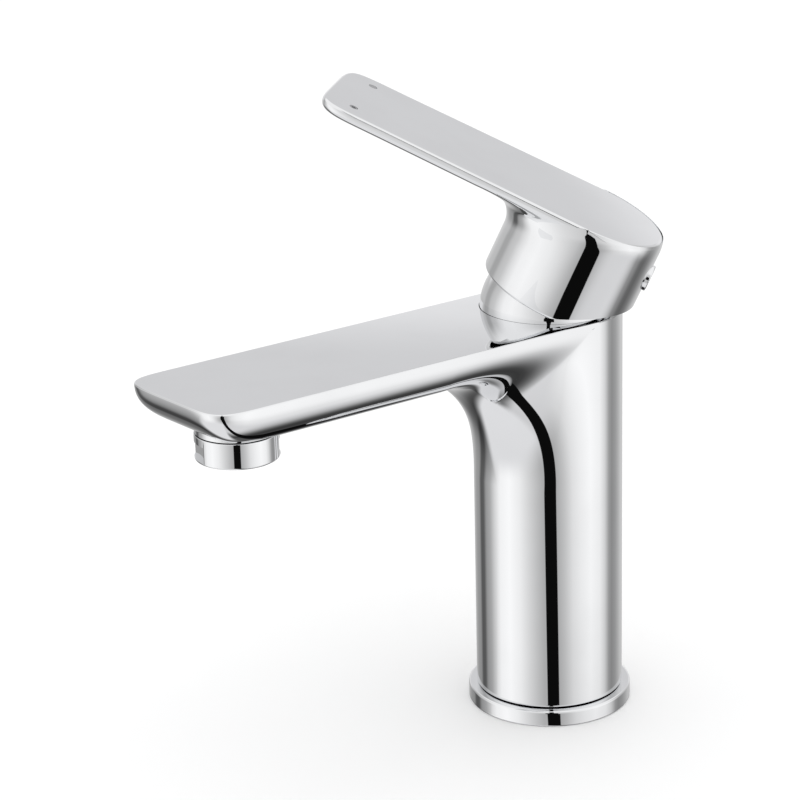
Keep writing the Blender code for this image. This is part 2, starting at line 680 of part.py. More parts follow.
def cartridge_rotor(turn):
    """Plastic rotor: a flange over the discs and a slotted neck that carries the stem."""
    flange_r = CHAMBER_R - 0.4 * MM
    flange_top = ROTOR_BOTTOM + ROTOR_FLANGE_H
    profile = [(0.0, ROTOR_TOP), (ROTOR_NECK_R, ROTOR_TOP), (ROTOR_NECK_R, flange_top),
               (flange_r, flange_top), (flange_r, ROTOR_BOTTOM), (0.0, ROTOR_BOTTOM)]
    profile = [(radius, z - PIVOT_Z) for radius, z in profile]
    rotor = turned("cartridge_rotor", profile, plastic("cartridge_rotor", (0.55, 0.57, 0.60)),
                   parent=turn)
    slot = box("rotor_slot", (9.0 * MM, 13.6 * MM, 40 * MM), parent=turn)
    pin_hole = cylinder("rotor_pin_hole", PIN_R + GAP, -15 * MM, 15 * MM, steps=16, parent=turn,
                        rotation=(0.0, radians(90), 0.0))
    return cut(rotor, slot, pin_hole)


def hinge_pin(turn):
    return cylinder("hinge_pin", PIN_R, -PIN_HALF_LENGTH, PIN_HALF_LENGTH, steel("hinge_pin"),
                    steps=16, parent=turn, rotation=(0.0, radians(90), 0.0))


def disc_carrier(slide):
    """Plastic driver on the moving disc, with the socket for the stem's ball."""
    carrier = cylinder("disc_carrier", 11.6 * MM, CARRIER_BOTTOM - PIVOT_Z, CARRIER_TOP - PIVOT_Z,
                       plastic("disc_carrier", (0.20, 0.35, 0.55)), steps=32, parent=slide)
    return cut(carrier, cylinder("ball_socket", BALL_R + 0.5 * MM, SOCKET_FLOOR - PIVOT_Z,
                                 CARRIER_TOP + MM - PIVOT_Z, steps=20, parent=slide))


def moving_ceramic_disc(slide):
    """Upper ceramic disc with the blind pocket that joins the ports."""
    bottom = MOVING_BOTTOM - PIVOT_Z
    disc = cylinder("moving_ceramic_disc", 11.9 * MM, bottom, MOVING_TOP - PIVOT_Z,
                    ceramic("moving_ceramic_disc"), steps=ROUND, parent=slide)
    return cut(disc, box("mixing_pocket", (13 * MM, 11 * MM, 3.2 * MM), parent=slide,
                         location=(0.0, 0.0, bottom), bevel=1.2 * MM))


# ---------------------------------------------------------------- pieces that lift with the lever

def lever_handle(lift):
    """Chromed zinc lever: a hollow skirt round the dome and the flat paddle."""
    handle = arm_solid("lever_handle", {
        "radius": SKIRT_R, "foot": SKIRT_RIM, "top": LEVER_TOP, "slope": 0.0,
        "neck_z": LEVER_TOP - PADDLE_DEPTH - PADDLE_FILLET, "neck_reach": SKIRT_R + PADDLE_FILLET,
        "root_w": PADDLE_ROOT_HALF_W, "end_w": PADDLE_HALF_W, "depth": PADDLE_DEPTH,
        "end": PADDLE_END, "tip": PADDLE_TIP_LENGTH, "power": PADDLE_POWER,
        "bow_power": PADDLE_POWER, "plan_power": PLAN_POWER, "lean_h": TOP_CORNER_H,
    }, chrome("lever_handle"), neck_steps=10)
    handle.parent = lift
    bore = cylinder("skirt_bore", SKIRT_BORE_R, -5 * MM, SKIRT_BORE_TOP, parent=lift)
    far = 40 * MM
    low = SKIRT_RIM - 10 * MM
    rim_cut = wedge("rim_cut", [(-RIM_CUT_START, low), (-RIM_CUT_START, SKIRT_RIM),
                                (-far, SKIRT_RIM + (far - RIM_CUT_START) * tan(RIM_CUT_ANGLE)),
                                (-far, low)], far)
    rim_cut.parent = lift
    stem_reach = SCREW_H * tan(STEM_LEAN)
    boss = cylinder("stem_boss", BOSS_R, BOSS_FOOT, SKIRT_BORE_TOP + 2 * MM, steps=32, parent=lift,
                    location=(0.0, -stem_reach, 0.0))
    pad_front, pad_back = 15.5 * MM, SKIRT_R - 0.8 * MM
    pad_foot, pad_top = SCREW_H - 5.0 * MM, SKIRT_BORE_TOP + 2 * MM
    pad = box("screw_pad", (9.6 * MM, pad_back - pad_front, pad_top - pad_foot), parent=lift,
              location=(0.0, 0.5 * (pad_back + pad_front), 0.5 * (pad_top + pad_foot)))
    cut(handle, bore, rim_cut)
    join(handle, boss, pad)
    socket_size = STEM_WIDTH + 2 * GAP
    socket = box("stem_socket", (socket_size, socket_size, 12 * MM), parent=lift,
                 location=stem_point(STEM_TOP + GAP - 6 * MM), rotation=(STEM_LEAN, 0.0, 0.0))
    screw_hole = cylinder("screw_hole", SCREW_R + GAP, 0.0, 30 * MM, steps=20, parent=lift,
                          location=(0.0, -stem_reach, SCREW_H), rotation=(radians(-90), 0.0, 0.0))
    plug_seat = cylinder("plug_seat", PLUG_R + GAP, SKIRT_R - 2.4 * MM, SKIRT_R + 5 * MM, steps=28,
                         parent=lift, location=(0.0, 0.0, SCREW_H),
                         rotation=(radians(-90), 0.0, 0.0))
    cut(handle, socket, screw_hole, plug_seat)
    for side in (-1, 1):
        cut(handle, cylinder(f"mark_recess_{side}", MARK_R + GAP, LEVER_TOP - 0.9 * MM,
                             LEVER_TOP + MM, steps=20, parent=lift,
                             location=(side * MARK_OFFSET, -MARK_REACH, 0.0)))
    return handle


def stem_point(along):
    """Point on the stem's axis, in the lever's frame, at a distance above the pivot."""
    return (0.0, -along * sin(STEM_LEAN), along * cos(STEM_LEAN))


def lever_stem(lift):
    """Square brass stem on the hinge pin, with the ball arm below the pivot."""
    shank_bottom = -5.0 * MM
    lean = {"parent": lift, "rotation": (STEM_LEAN, 0.0, 0.0)}
    stem = box("lever_stem", (STEM_WIDTH, STEM_WIDTH, STEM_TOP - shank_bottom), brass("lever_stem"),
               location=stem_point(0.5 * (STEM_TOP + shank_bottom)), bevel=0.6 * MM, **lean)
    arm = cylinder("stem_arm", 2.3 * MM, -STEM_ARM, 0.0, steps=20, **lean)
    bm = bmesh.new()
    bmesh.ops.create_uvsphere(bm, u_segments=20, v_segments=12, radius=BALL_R)
    ball = place(from_bmesh("stem_ball", bm), location=stem_point(-STEM_ARM), **lean)
    join(stem, arm, ball)
    return cut(stem, cylinder("stem_pin_hole", PIN_R + GAP, -15 * MM, 15 * MM, steps=16, parent=lift,
                              rotation=(0.0, radians(90), 0.0)))


def grub_screw(lift):
    """Socket screw that clamps the stem, reached behind the plug."""
    stem_face = 0.5 * STEM_WIDTH / cos(STEM_LEAN) - SCREW_H * tan(STEM_LEAN)
    start = stem_face + SCREW_R * tan(STEM_LEAN) + GAP
    where = {"parent": lift, "location": (0.0, start, SCREW_H), "rotation": (radians(-90), 0.0, 0.0)}
    screw = cylinder("grub_screw", SCREW_R, 0.0, SCREW_LENGTH, steel("grub_screw"), steps=20, **where)
    return cut(screw, cylinder("hex_socket", 1.1 * MM, SCREW_LENGTH - 3 * MM, SCREW_LENGTH + MM,
                               steps=6, **where))


def screw_plug(lift):
    """Small chromed button at the back of the skirt, over the screw."""
    front = SKIRT_R + 0.9 * MM
    sunk = front - 1.9 * MM
    profile = [(0.0, sunk), (PLUG_R - 1.1 * MM, sunk),
               (PLUG_R - 1.0 * MM, front), (PLUG_R - 0.4 * MM, front), (PLUG_R, front - 0.4 * MM),
               (PLUG_R, SKIRT_R - 2.1 * MM), (0.0, SKIRT_R - 2.1 * MM)]
    return turned("screw_plug", profile, chrome("screw_plug"), steps=28, parent=lift,
                  location=(0.0, 0.0, SCREW_H), rotation=(radians(-90), 0.0, 0.0))


def temperature_marks(lift):
    """Two inlaid marks near the tip: a dot on the hot side and a ring on the cold side."""
    dark = (0.12, 0.12, 0.13)
    foot = LEVER_TOP - 0.6 * MM
    cylinder("hot_mark", MARK_R, foot, LEVER_TOP, material("hot_mark_enamel", dark, 0.5, 0.0),
             steps=20, parent=lift, location=(-MARK_OFFSET, -MARK_REACH, 0.0))
    ring("cold_mark", MARK_R, 0.7 * MM, foot, LEVER_TOP,
         material("cold_mark_enamel", dark, 0.5, 0.0), steps=20, parent=lift,
         location=(MARK_OFFSET, -MARK_REACH, 0.0))


# ---------------------------------------------------------------- assembly

def empty(name, parent=None, location=(0.0, 0.0, 0.0), rotation=(0.0, 0.0, 0.0)):
    made = bpy.data.objects.new(name, None)
    PARTS.objects.link(made)
    return place(made, parent, location, rotation)


def build():
    faucet_body()
    base_ring()
    base_gasket()
    inlet_manifold()
    supply_tube("hot")
    supply_tube("cold")
    cartridge_housing()
    cartridge_base()
    for side in PORTS:
        port_seal(side)
    fixed_ceramic_disc()
    retaining_nut()
    dome_cap()
    aerator_housing()
    aerator_insert()
    aerator_screen()
    aerator_washer()

    turn = empty("temperature_axis", location=(0.0, 0.0, PIVOT_Z), rotation=(0.0, 0.0, TURN))
    cartridge_rotor(turn)
    hinge_pin(turn)
    disc_travel = STEM_ARM * sin(LIFT - STEM_LEAN)
    slide = empty("disc_axis", turn, location=(0.0, -disc_travel, 0.0))
    disc_carrier(slide)
    moving_ceramic_disc(slide)

    lift = empty("lift_axis", turn, rotation=(-LIFT, 0.0, 0.0))
    lever_handle(lift)
    lever_stem(lift)
    grub_screw(lift)
    screw_plug(lift)
    temperature_marks(lift)


build()
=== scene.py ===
from math import acos, cos, pi, radians, sin, tan

import bmesh
import bpy
import numpy as np
from bpy.props import FloatProperty, FloatVectorProperty, PointerProperty
from mathutils import Euler, Matrix, Vector


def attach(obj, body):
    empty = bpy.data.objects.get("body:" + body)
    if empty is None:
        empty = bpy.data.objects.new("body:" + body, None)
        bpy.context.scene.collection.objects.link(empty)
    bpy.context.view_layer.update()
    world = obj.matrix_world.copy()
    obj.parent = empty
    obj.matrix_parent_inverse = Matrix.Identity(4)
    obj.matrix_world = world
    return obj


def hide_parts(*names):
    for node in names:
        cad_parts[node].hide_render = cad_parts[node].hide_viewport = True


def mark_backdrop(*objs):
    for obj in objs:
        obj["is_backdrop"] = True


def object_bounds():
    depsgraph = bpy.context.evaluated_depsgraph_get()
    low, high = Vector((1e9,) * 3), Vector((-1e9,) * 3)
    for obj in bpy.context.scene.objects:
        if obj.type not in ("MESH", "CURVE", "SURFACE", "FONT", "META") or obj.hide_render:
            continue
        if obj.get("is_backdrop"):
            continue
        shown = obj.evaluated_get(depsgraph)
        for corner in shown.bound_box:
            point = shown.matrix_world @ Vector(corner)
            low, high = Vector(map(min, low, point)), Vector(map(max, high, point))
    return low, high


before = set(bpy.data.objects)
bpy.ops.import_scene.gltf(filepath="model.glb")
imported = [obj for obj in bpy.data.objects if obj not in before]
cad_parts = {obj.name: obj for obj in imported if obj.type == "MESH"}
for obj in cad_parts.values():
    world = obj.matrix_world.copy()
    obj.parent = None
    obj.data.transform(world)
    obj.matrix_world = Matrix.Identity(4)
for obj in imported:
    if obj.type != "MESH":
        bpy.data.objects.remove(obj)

bl_info = {
    "name": "Single-lever basin mixer",
    "version": (1, 0, 0),
    "blender": (4, 5, 0),
    "location": "3D View > Sidebar > Basin mixer",
    "description": "Builds the polished pieces, finishes and studio of a single-lever basin mixer",
    "category": "Object",
}

MM = 0.001
GAP = 0.3 * MM                      # clearance between neighbouring pieces
WELD = 0.002 * MM                   # points closer than this are one point

PIVOT = Vector((0.0, 0.0, 125.2 * MM))
TURN = radians(-51.4)               # the lever stands swung to the hot side
LIFT = radians(24.9)                # and lifted fully open
LEVER_PLACE = Matrix.Translation(PIVOT) @ Matrix.Rotation(TURN, 4, "Z") @ Matrix.Rotation(-LIFT, 4, "X")
STEM_LEAN = radians(12.5)
INLETS = ((-7.0 * MM, 4.0 * MM), (7.0 * MM, 4.0 * MM))


# ---------------------------------------------------------------- sizes and colours

def length(label, text, value):
    """A size in metres, shown in the scene's length unit."""
    return FloatProperty(name=label, description=text, default=value, min=0.0, unit="LENGTH", precision=5)


def shade_of(label, text, value):
    """A linear colour."""
    return FloatVectorProperty(name=label, description=text, default=value, size=3, min=0.0, max=1.0,
                               subtype="COLOR")


class MixerBodySizes(bpy.types.PropertyGroup):
    """Sizes of the column, its foot ring, the spout and the dome."""
    column_radius: length("Column radius", "Outside of the round column", 22.5 * MM)
    foot_z: length("Column foot", "Height of the column's lower rim", 5.3 * MM)
    top_z: length("Top height", "Height of the flat top on the column's axis", 126.4 * MM)
    neck_z: length("Neck start", "Height where the column starts to sweep forward", 75.0 * MM)
    neck_reach: length("Neck end", "Reach where the neck has become the spout", 56.0 * MM)
    spout_half_width: length("Spout half width", "Half the spout's width at the tip", 22.0 * MM)
    spout_depth: length("Spout depth", "Thickness of the spout", 13.2 * MM)
    spout_end: length("Spout reach", "Distance from the axis to the spout's end", 137.8 * MM)
    tip_length: length("Spout tip", "Length over which the tip rounds off", 24.0 * MM)
    edge_round: length("Edge rounding", "Rounding of the body's upper edge", 0.45 * MM)
    ring_radius: length("Foot ring radius", "Outside of the trim ring", 25.0 * MM)
    ring_top: length("Foot ring height", "Top of the trim ring above the deck", 5.0 * MM)
    dome_radius: length("Dome radius", "Outside of the dome under the lever", 20.2 * MM)


class MixerLeverSizes(bpy.types.PropertyGroup):
    """Sizes of the lever, in its own frame with the origin on the pivot."""
    skirt_radius: length("Skirt radius", "Outside of the round skirt", 22.6 * MM)
    skirt_rim: length("Skirt rim", "Height of the skirt's rim above the pivot", 5.3 * MM)
    top: length("Lever top", "Height of the flat top above the pivot", 34.6 * MM)
    half_width: length("Paddle half width", "Half the paddle's width at the tip", 20.7 * MM)
    depth: length("Paddle depth", "Thickness of the paddle", 4.6 * MM)
    end: length("Paddle reach", "Distance from the axis to the paddle's end", 85.4 * MM)
    edge_round: length("Edge rounding", "Rounding of the lever's upper edge", 1.0 * MM)
    plug_radius: length("Plug radius", "Outside of the button over the screw", 4.1 * MM)
    mark_radius: length("Mark radius", "Outside of the hot and cold marks", 1.2 * MM)


class MixerAeratorSizes(bpy.types.PropertyGroup):
    """Sizes of the aerator under the spout's tip."""
    reach: length("Aerator reach", "Distance from the column's axis", 115.7 * MM)
    radius: length("Aerator radius", "Outside of the sleeve", 11.85 * MM)
    bottom: length("Outlet height", "Height of the sleeve's lower rim", 108.1 * MM)
    top: length("Shoulder height", "Height of the sleeve's shoulder", 115.6 * MM)
    thread_radius: length("Thread radius", "Outside of the thread in the spout", 9.8 * MM)
    thread_height: length("Thread height", "Height of the thread above the shoulder", 2.4 * MM)
    flat_depth: length("Flat depth", "Depth of the wrench flats", 1.2 * MM)


class MixerColours(bpy.types.PropertyGroup):
    """Colours of the finishes."""
    chrome: shade_of("Chrome", "Polished chrome plating", (0.86, 0.865, 0.875))
    brass: shade_of("Brass", "Machined brass", (0.72, 0.50, 0.22))
    copper: shade_of("Copper", "Drawn copper tube", (0.78, 0.38, 0.24))
    steel: shade_of("Steel", "Stainless steel", (0.56, 0.56, 0.55))
    rubber: shade_of("Rubber", "Seal rubber", (0.022, 0.022, 0.024))
    ceramic: shade_of("Ceramic", "Lapped alumina", (0.86, 0.84, 0.79))
    enamel: shade_of("Enamel", "Grey inlay of the marks", (0.26, 0.26, 0.27))
    floor: shade_of("Floor", "Studio floor", (0.90, 0.90, 0.90))


class MixerStudio(bpy.types.PropertyGroup):
    """Camera and light."""
    azimuth: FloatProperty(name="Azimuth", description="Camera's angle round the mixer", default=radians(50.65),
                           subtype="ANGLE")
    elevation: FloatProperty(name="Elevation", description="Camera's angle above the horizon",
                             default=radians(19.14), subtype="ANGLE")
    roll: FloatProperty(name="Roll", description="Camera's turn about its own axis", default=radians(-1.41),
                        subtype="ANGLE")
    lens: FloatProperty(name="Lens", description="Focal length in millimetres on a 36 mm sensor", default=127.4)
    light: FloatProperty(name="Light", description="Brightness of the studio's white walls", default=1.02)


# ---------------------------------------------------------------- surfaces

def quads_of(rows, columns, first):
    """Quads of a grid of points: corner (i, j) joins (i+1, j), (i+1, j+1) and (i, j+1)."""
    i, j = np.meshgrid(np.arange(rows - 1), np.arange(columns - 1), indexing="ij")
    corner = first + (i * columns + j).ravel()
    return np.stack([corner, corner + columns, corner + columns + 1, corner + 1], axis=1)


def shell(name, grids, caps=()):
    """Closed mesh of the grids' quads and one flat face for each cap's loop of points, welded together."""
    points, faces, count = [], [], 0
    for grid in grids:
        faces += quads_of(grid.shape[0], grid.shape[1], count).tolist()
        points.append(grid.reshape(-1, 3))
        count += grid.shape[0] * grid.shape[1]
    for loop in caps:
        faces.append(list(range(count, count + len(loop))))
        points.append(loop)
        count += len(loop)
    mesh = bpy.data.meshes.new(name)
    mesh.from_pydata(np.concatenate(points).tolist(), [], faces)
    bm = bmesh.new()
    bm.from_mesh(mesh)
    bmesh.ops.remove_doubles(bm, verts=bm.verts, dist=WELD)
    bmesh.ops.dissolve_degenerate(bm, edges=bm.edges, dist=WELD)
    bmesh.ops.recalc_face_normals(bm, faces=bm.faces)
    bm.to_mesh(mesh)
    bm.free()
    obj = bpy.data.objects.new(name, mesh)
    bpy.context.scene.collection.objects.link(obj)
    return obj


def softened(profile, closed=False, steps=5):
    """Profile whose corners (radius, z, rounding) become curves.

    A corner C between neighbours P and N turns into (1-t)^2 A + 2t(1-t) C + t^2 B, with A and B
    on the two sides at the rounding's distance from C.
    """
    data = np.array([(*corner, 0.0)[:3] for corner in profile])
    corner, size = data[:, :2], data[:, 2]
    before, after = np.roll(corner, 1, axis=0), np.roll(corner, -1, axis=0)
    if not closed:
        before[0], after[-1] = corner[0], corner[-1]

    def towards(other):
        gap = other - corner
        span = np.maximum(np.linalg.norm(gap, axis=1), 1e-12)
        return corner + gap * (np.minimum(size, 0.49 * span) / span)[:, None]

    t = np.linspace(0.0, 1.0, steps + 1)[None, :, None]
    start, stop, mid = towards(before)[:, None], towards(after)[:, None], corner[:, None]
    curve = (1 - t) ** 2 * start + 2 * t * (1 - t) * mid + t ** 2 * stop
    points = curve.reshape(-1, 2)
    keep = np.ones(len(points), bool)
    keep[1:] = np.linalg.norm(np.diff(points, axis=0), axis=1) > WELD
    return points[keep]


def turned(name, profile, steps=96, closed=False, place=None):
    """Solid of revolution: (r cos a, r sin a, z) for each profile point and angle a round the axis."""
    profile = np.asarray(profile, float)[:, :2]
    if closed:
        profile = np.concatenate([profile, profile[:1]])
    angle = np.linspace(0.0, 2 * pi, steps + 1)
    grid = np.empty((len(profile), steps + 1, 3))
    grid[..., 0] = profile[:, :1] * np.cos(angle)
    grid[..., 1] = profile[:, :1] * np.sin(angle)
    grid[..., 2] = profile[:, 1:]
    obj = shell(name, [grid])
    if place is not None:
        obj.data.transform(place)
    return obj


def rod(name, radius, low, high, steps=64, place=None):
    """Round bar along Z between two heights."""
    return turned(name, [(0.0, high), (radius, high), (radius, low), (0.0, low)], steps, place=place)


def block(name, size, place=None, bevel=0.0):
    """Cutter: a box, its faces spanned by the unit square's corners times the size."""
    side = np.array([-0.5, 0.5])
    x, y = np.meshgrid(side, side, indexing="ij")
    flat = np.stack([x, y, np.full_like(x, 0.5)], axis=-1)
    faces = [np.roll(flat * sign, turn, axis=-1) * np.array(size) for sign in (1, -1) for turn in range(3)]
    obj = shell(name, faces)
    if bevel:
        edge = obj.modifiers.new("edges", "BEVEL")
        edge.width, edge.segments = bevel, 5
        settle(obj)
    if place is not None:
        obj.data.transform(place)
    return obj


def prism(name, outline, half_width):
    """Cutter: the (reach, z) outline in the plane of the arm, carried across it."""
    ends = np.array([[(x, -reach, z) for reach, z in (*outline, outline[0])] for x in (half_width, -half_width)])
    return shell(name, [ends], [ends[0, :-1], ends[1, :-1]])


def superellipse(angle, power):
    """(side, drop) on the curve side^p + drop^p = 1, at (cos^(2/p), sin^(2/p)) of the angle."""
    side = np.clip(np.cos(angle), 0.0, 1.0) ** (2 / power)
    return np.where(angle > 0.5 * pi - 1e-9, 0.0, side), np.sin(angle) ** (2 / power)


def arm(name, radius, foot, top, slope, neck_z, neck_reach, root_w, end_w, depth, end, tip, power,
        bow_power, edge, ease=1.7, plan_power=6.0, lean_h=5.0 * MM, across=28, neck=72, fan=72):
    """Upright column whose front sweeps forward into a flat-topped arm.

    A rib starts on a rail at one side, runs under the shape and up to the other rail:
    x = width side, (reach, z) = rail + (centre - rail) drop, on a superellipse whose power
    goes from 2 to the arm's.  The rail climbs the column's side and then follows the top
    edge, slowing down to nothing at the corner, so that the ribs stay smooth across it; the
    centre line is a quarter ellipse.  At the tip the ribs fan out from the point
    under the arm to a superellipse seen from above.  The back is a half cylinder.
    """
    fan_reach = end - tip

    def top_at(reach):
        return top + slope * reach

    def half_width(reach):
        return root_w + (end_w - root_w) * reach / fan_reach

    along = np.arange(neck + 1) / neck
    climb, angle = 2 * along, 0.5 * pi * along
    rise = 1 - np.maximum(1 - climb, 0.0) ** ease
    run = np.maximum(climb - 1, 0.0) ** ease
    under = top_at(neck_reach) - depth
    rail_reach = neck_reach * run
    rail_z = np.where(climb <= 1, neck_z + (top - neck_z) * rise, top_at(rail_reach))
    lean = np.clip((rail_z - (top - lean_h)) / lean_h, 0.0, 1.0) ** 3
    width = np.where(climb <= 1, radius + (root_w - radius) * lean, half_width(rail_reach))
    mid_reach = neck_reach - (neck_reach - radius) * np.cos(angle)
    mid_z = neck_z + (under - neck_z) * np.sin(angle)
    powers = 2 + (power - 2) * along ** 2
    far = (half_width(fan_reach), fan_reach, top_at(fan_reach), fan_reach, top_at(fan_reach) - depth, power)
    near = (radius, 0.0, foot, radius, foot, 2.0)
    stations = np.concatenate([[near], np.stack([width, rail_reach, rail_z, mid_reach, mid_z, powers], axis=1),
                               [far]])
    w, rail_r, rail_h, mid_r, mid_h, p = (stations[:, k, None] for k in range(6))

    bend = np.linspace(0.0, 0.5 * pi, across + 1)[None]
    side, drop = superellipse(bend, p)
    half = np.stack([w * side, -(rail_r + (mid_r - rail_r) * drop), rail_h + (mid_h - rail_h) * drop], axis=-1)
    mirror = np.array([-1.0, 1.0, 1.0])
    ribs = np.concatenate([half, half[:, -2::-1] * mirror], axis=1)

    round_tip = np.linspace(0.0, pi, fan + 1)[:, None]
    bow = power + (bow_power - power) * np.sin(round_tip)
    x_out = end_w * np.sign(np.cos(round_tip)) * np.abs(np.cos(round_tip)) ** (2 / plan_power)
    reach_out = tip * np.abs(np.sin(round_tip)) ** (2 / plan_power)
    side, drop = superellipse(bend, bow)
    reach = fan_reach + reach_out * side
    spokes = np.stack([x_out * side, -reach, top_at(reach) - depth * drop], axis=-1)
    spokes[0], spokes[-1] = half[-1], half[-1] * mirror

    column = np.flatnonzero(np.concatenate([[True], climb <= 1, [False]]))
    swing = np.linspace(0.0, pi, 2 * across + 1)[None]
    w_back = stations[column, 0, None]
    back_y = w_back * np.sin(swing)
    back_z = np.repeat(stations[column, 2, None], swing.shape[1], axis=1)
    back_z[-1] = top_at(-back_y[-1])
    back = np.stack([-w_back * np.cos(swing), back_y, back_z], axis=-1)

    rails = ribs[column[-1] + 1:]
    outline = np.concatenate([back[-1], rails[:, 0], spokes[1:-1, 0], rails[::-1, -1]])
    sole = np.concatenate([back[0, ::-1], ribs[0, -2:0:-1]])
    obj = shell(name, [ribs, spokes, back], [outline, sole])
    rounding = obj.modifiers.new("edge", "BEVEL")
    rounding.width, rounding.segments = edge, 4
    rounding.limit_method, rounding.angle_limit = "ANGLE", radians(50)
    rounding.use_clamp_overlap = False
    return obj


def settle(obj):
    """Makes the modifiers' result the object's own mesh."""
    depsgraph = bpy.context.evaluated_depsgraph_get()
    old, obj.data = obj.data, bpy.data.meshes.new_from_object(obj.evaluated_get(depsgraph))
    obj.modifiers.clear()
    bpy.data.meshes.remove(old)
    return obj


def carve(obj, cuts, adds=()):
    """Takes the cutters away after joining the added bodies on, and removes them all."""
    tools = [(tool, "UNION") for tool in adds] + [(tool, "DIFFERENCE") for tool in cuts]
    for tool, operation in tools:
        change = obj.modifiers.new(tool.name, "BOOLEAN")
        change.operation, change.object, change.solver = operation, tool, "MANIFOLD"
    settle(obj)
    for tool, _ in tools:
        bpy.data.objects.remove(tool, do_unlink=True)
    return obj


def fit(obj, body, nodes, look, place=None, sharp=32.0):
    """Puts a finished piece in its place on its body, in place of its CAD nodes."""
    if place is not None:
        obj.data.transform(place)
    obj.data.shade_smooth()
    obj.data.set_sharp_from_angle(angle=radians(sharp))
    even = obj.modifiers.new("normals", "WEIGHTED_NORMAL")
    even.keep_sharp = True
    settle(obj)
    obj.data.materials.clear()
    obj.data.materials.append(look)
    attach(obj, body)
    if nodes:
        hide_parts(*nodes)
    return obj


# ---------------------------------------------------------------- shader maths

class Wire:
    """A socket of a material's node tree; expressions on it add Math nodes."""

    def __init__(self, tree, socket):
        self.tree, self.socket = tree, socket

    def maths(self, operation, *others):
        """This socket and the others through one Math node."""
        return Nodes(self.tree).node("ShaderNodeMath", {"operation": operation},
                                     dict(enumerate((self, *others))))

    def __add__(self, other):
        return self.maths("ADD", other)

    __radd__ = __add__

    def __mul__(self, other):
        return self.maths("MULTIPLY", other)

    __rmul__ = __mul__

    def __sub__(self, other):
        return self.maths("SUBTRACT", other)

    def __rsub__(self, other):
        return (self * -1.0) + other

    def __truediv__(self, other):
        return self.maths("DIVIDE", other)

    def sine(self):
        return self.maths("SINE")

    def size(self):
        return self.maths("ABSOLUTE")

    def step(self, low, high):
        """0 below low, 1 above high and smooth between."""
        return Nodes(self.tree).node("ShaderNodeMapRange", {"interpolation_type": "SMOOTHSTEP"},
                                     {"Value": self, "From Min": low, "From Max": high})


class Nodes:
    """The nodes of one material."""

    def __init__(self, tree):
        self.tree = tree

    def node(self, kind, settings=None, inputs=None, output=0):
        """Adds a node: its settings first, then the values or links of its sockets."""
        made = self.tree.nodes.new(kind)
        for key, value in (settings or {}).items():
            if key == "stops":
                ramp = made.color_ramp.elements
                for index, (place, colour) in enumerate(value):
                    stop = ramp[index] if index < 2 else ramp.new(place)
                    stop.position = place
                    stop.color = (*(colour if hasattr(colour, "__len__") else (colour,) * 3), 1.0)
            else:
                setattr(made, key, value)
        for key, value in (inputs or {}).items():
            if isinstance(value, Wire):
                self.tree.links.new(value.socket, made.inputs[key])
            else:
                made.inputs[key].default_value = value
        return Wire(self.tree, made.outputs[output])

    def coordinates(self):
        """The piece's own coordinates in metres."""
        return self.node("ShaderNodeTexCoord", output="Object")

    def axes(self, vector=None):
        """The x, y and z of a vector, or of the piece's coordinates."""
        vector = vector or self.coordinates()
        return [self.node("ShaderNodeSeparateXYZ", None, {0: vector}, output=k) for k in range(3)]

    def noise(self, scale, detail=2.0, stretch=(1.0, 1.0, 1.0)):
        """Noise between 0 and 1, with about scale grains to the metre along each axis."""
        place = self.node("ShaderNodeMapping", None, {"Vector": self.coordinates(), "Scale": stretch})
        return self.node("ShaderNodeTexNoise", None, {"Vector": place, "Scale": scale, "Detail": detail})

    def mix(self, amount, first, second):
        """Colour between the first and the second."""
        made = self.tree.nodes.new("ShaderNodeMix")
        made.data_type = "RGBA"
        for index, value in ((0, amount), (6, first), (7, second)):
            if isinstance(value, Wire):
                self.tree.links.new(value.socket, made.inputs[index])
            else:
                made.inputs[index].default_value = value if index == 0 else (*value, 1.0)
        return Wire(self.tree, made.outputs[2])


def material(name, build, metallic=0.0, **fixed):
    """Material whose build(nodes) gives the links of the shader's sockets; the rest are set."""
    made = bpy.data.materials.new(name)
    made.use_nodes = True
    nodes = Nodes(made.node_tree)
    shader = made.node_tree.nodes["Principled BSDF"]
    shader.inputs["Metallic"].default_value = metallic
    for key, value in fixed.items():
        shader.inputs[key.replace("_", " ")].default_value = value
    for key, wire in build(nodes).items():
        if key == "height":
            strength, distance, wire = wire
            wire = nodes.node("ShaderNodeBump", None,
                              {"Strength": strength, "Distance": distance, "Height": wire})
            key = "Normal"
        made.node_tree.links.new(wire.socket, shader.inputs[key])
    return made


def tinted(colour, factor):
    """The colour times the factor, held at 1."""
    return tuple(min(1.0, channel * factor) for channel in colour)


def chrome_look(colour):
    """Bright plating: faint haze in patches, dust-fine speckle and an almost even film."""
    def build(n):
        haze = n.noise(38.0, 3.0).step(0.42, 0.72)
        speckle = n.noise(2600.0, 1.0)
        return {"Base Color": n.mix(haze, colour, tinted(colour, 0.97)),
                "Roughness": 0.010 + haze * 0.016 + speckle * 0.010,
                "height": (0.02, 0.02 * MM, n.noise(90.0, 1.0))}
    return material("polished_chrome", build, metallic=1.0)


def button_look(colour, centre, axis, radius):
    """Plating with a dark sunk face: dark within the radius of the axis through the centre."""
    def build(n):
        offset = n.node("ShaderNodeVectorMath", {"operation": "SUBTRACT"}, {0: n.coordinates(), 1: centre})
        away = n.node("ShaderNodeVectorMath", {"operation": "CROSS_PRODUCT"}, {0: offset, 1: axis})
        distance = n.node("ShaderNodeVectorMath", {"operation": "LENGTH"}, {0: away}, output=1)
        face = 1 - distance.step(radius - 0.05 * MM, radius + 0.05 * MM)
        return {"Base Color": n.mix(face, colour, tinted(colour, 0.05)),
                "Roughness": 0.012 + face * 0.3 + n.noise(2600.0, 1.0) * 0.01}
    return material("plated_button", build, metallic=1.0)


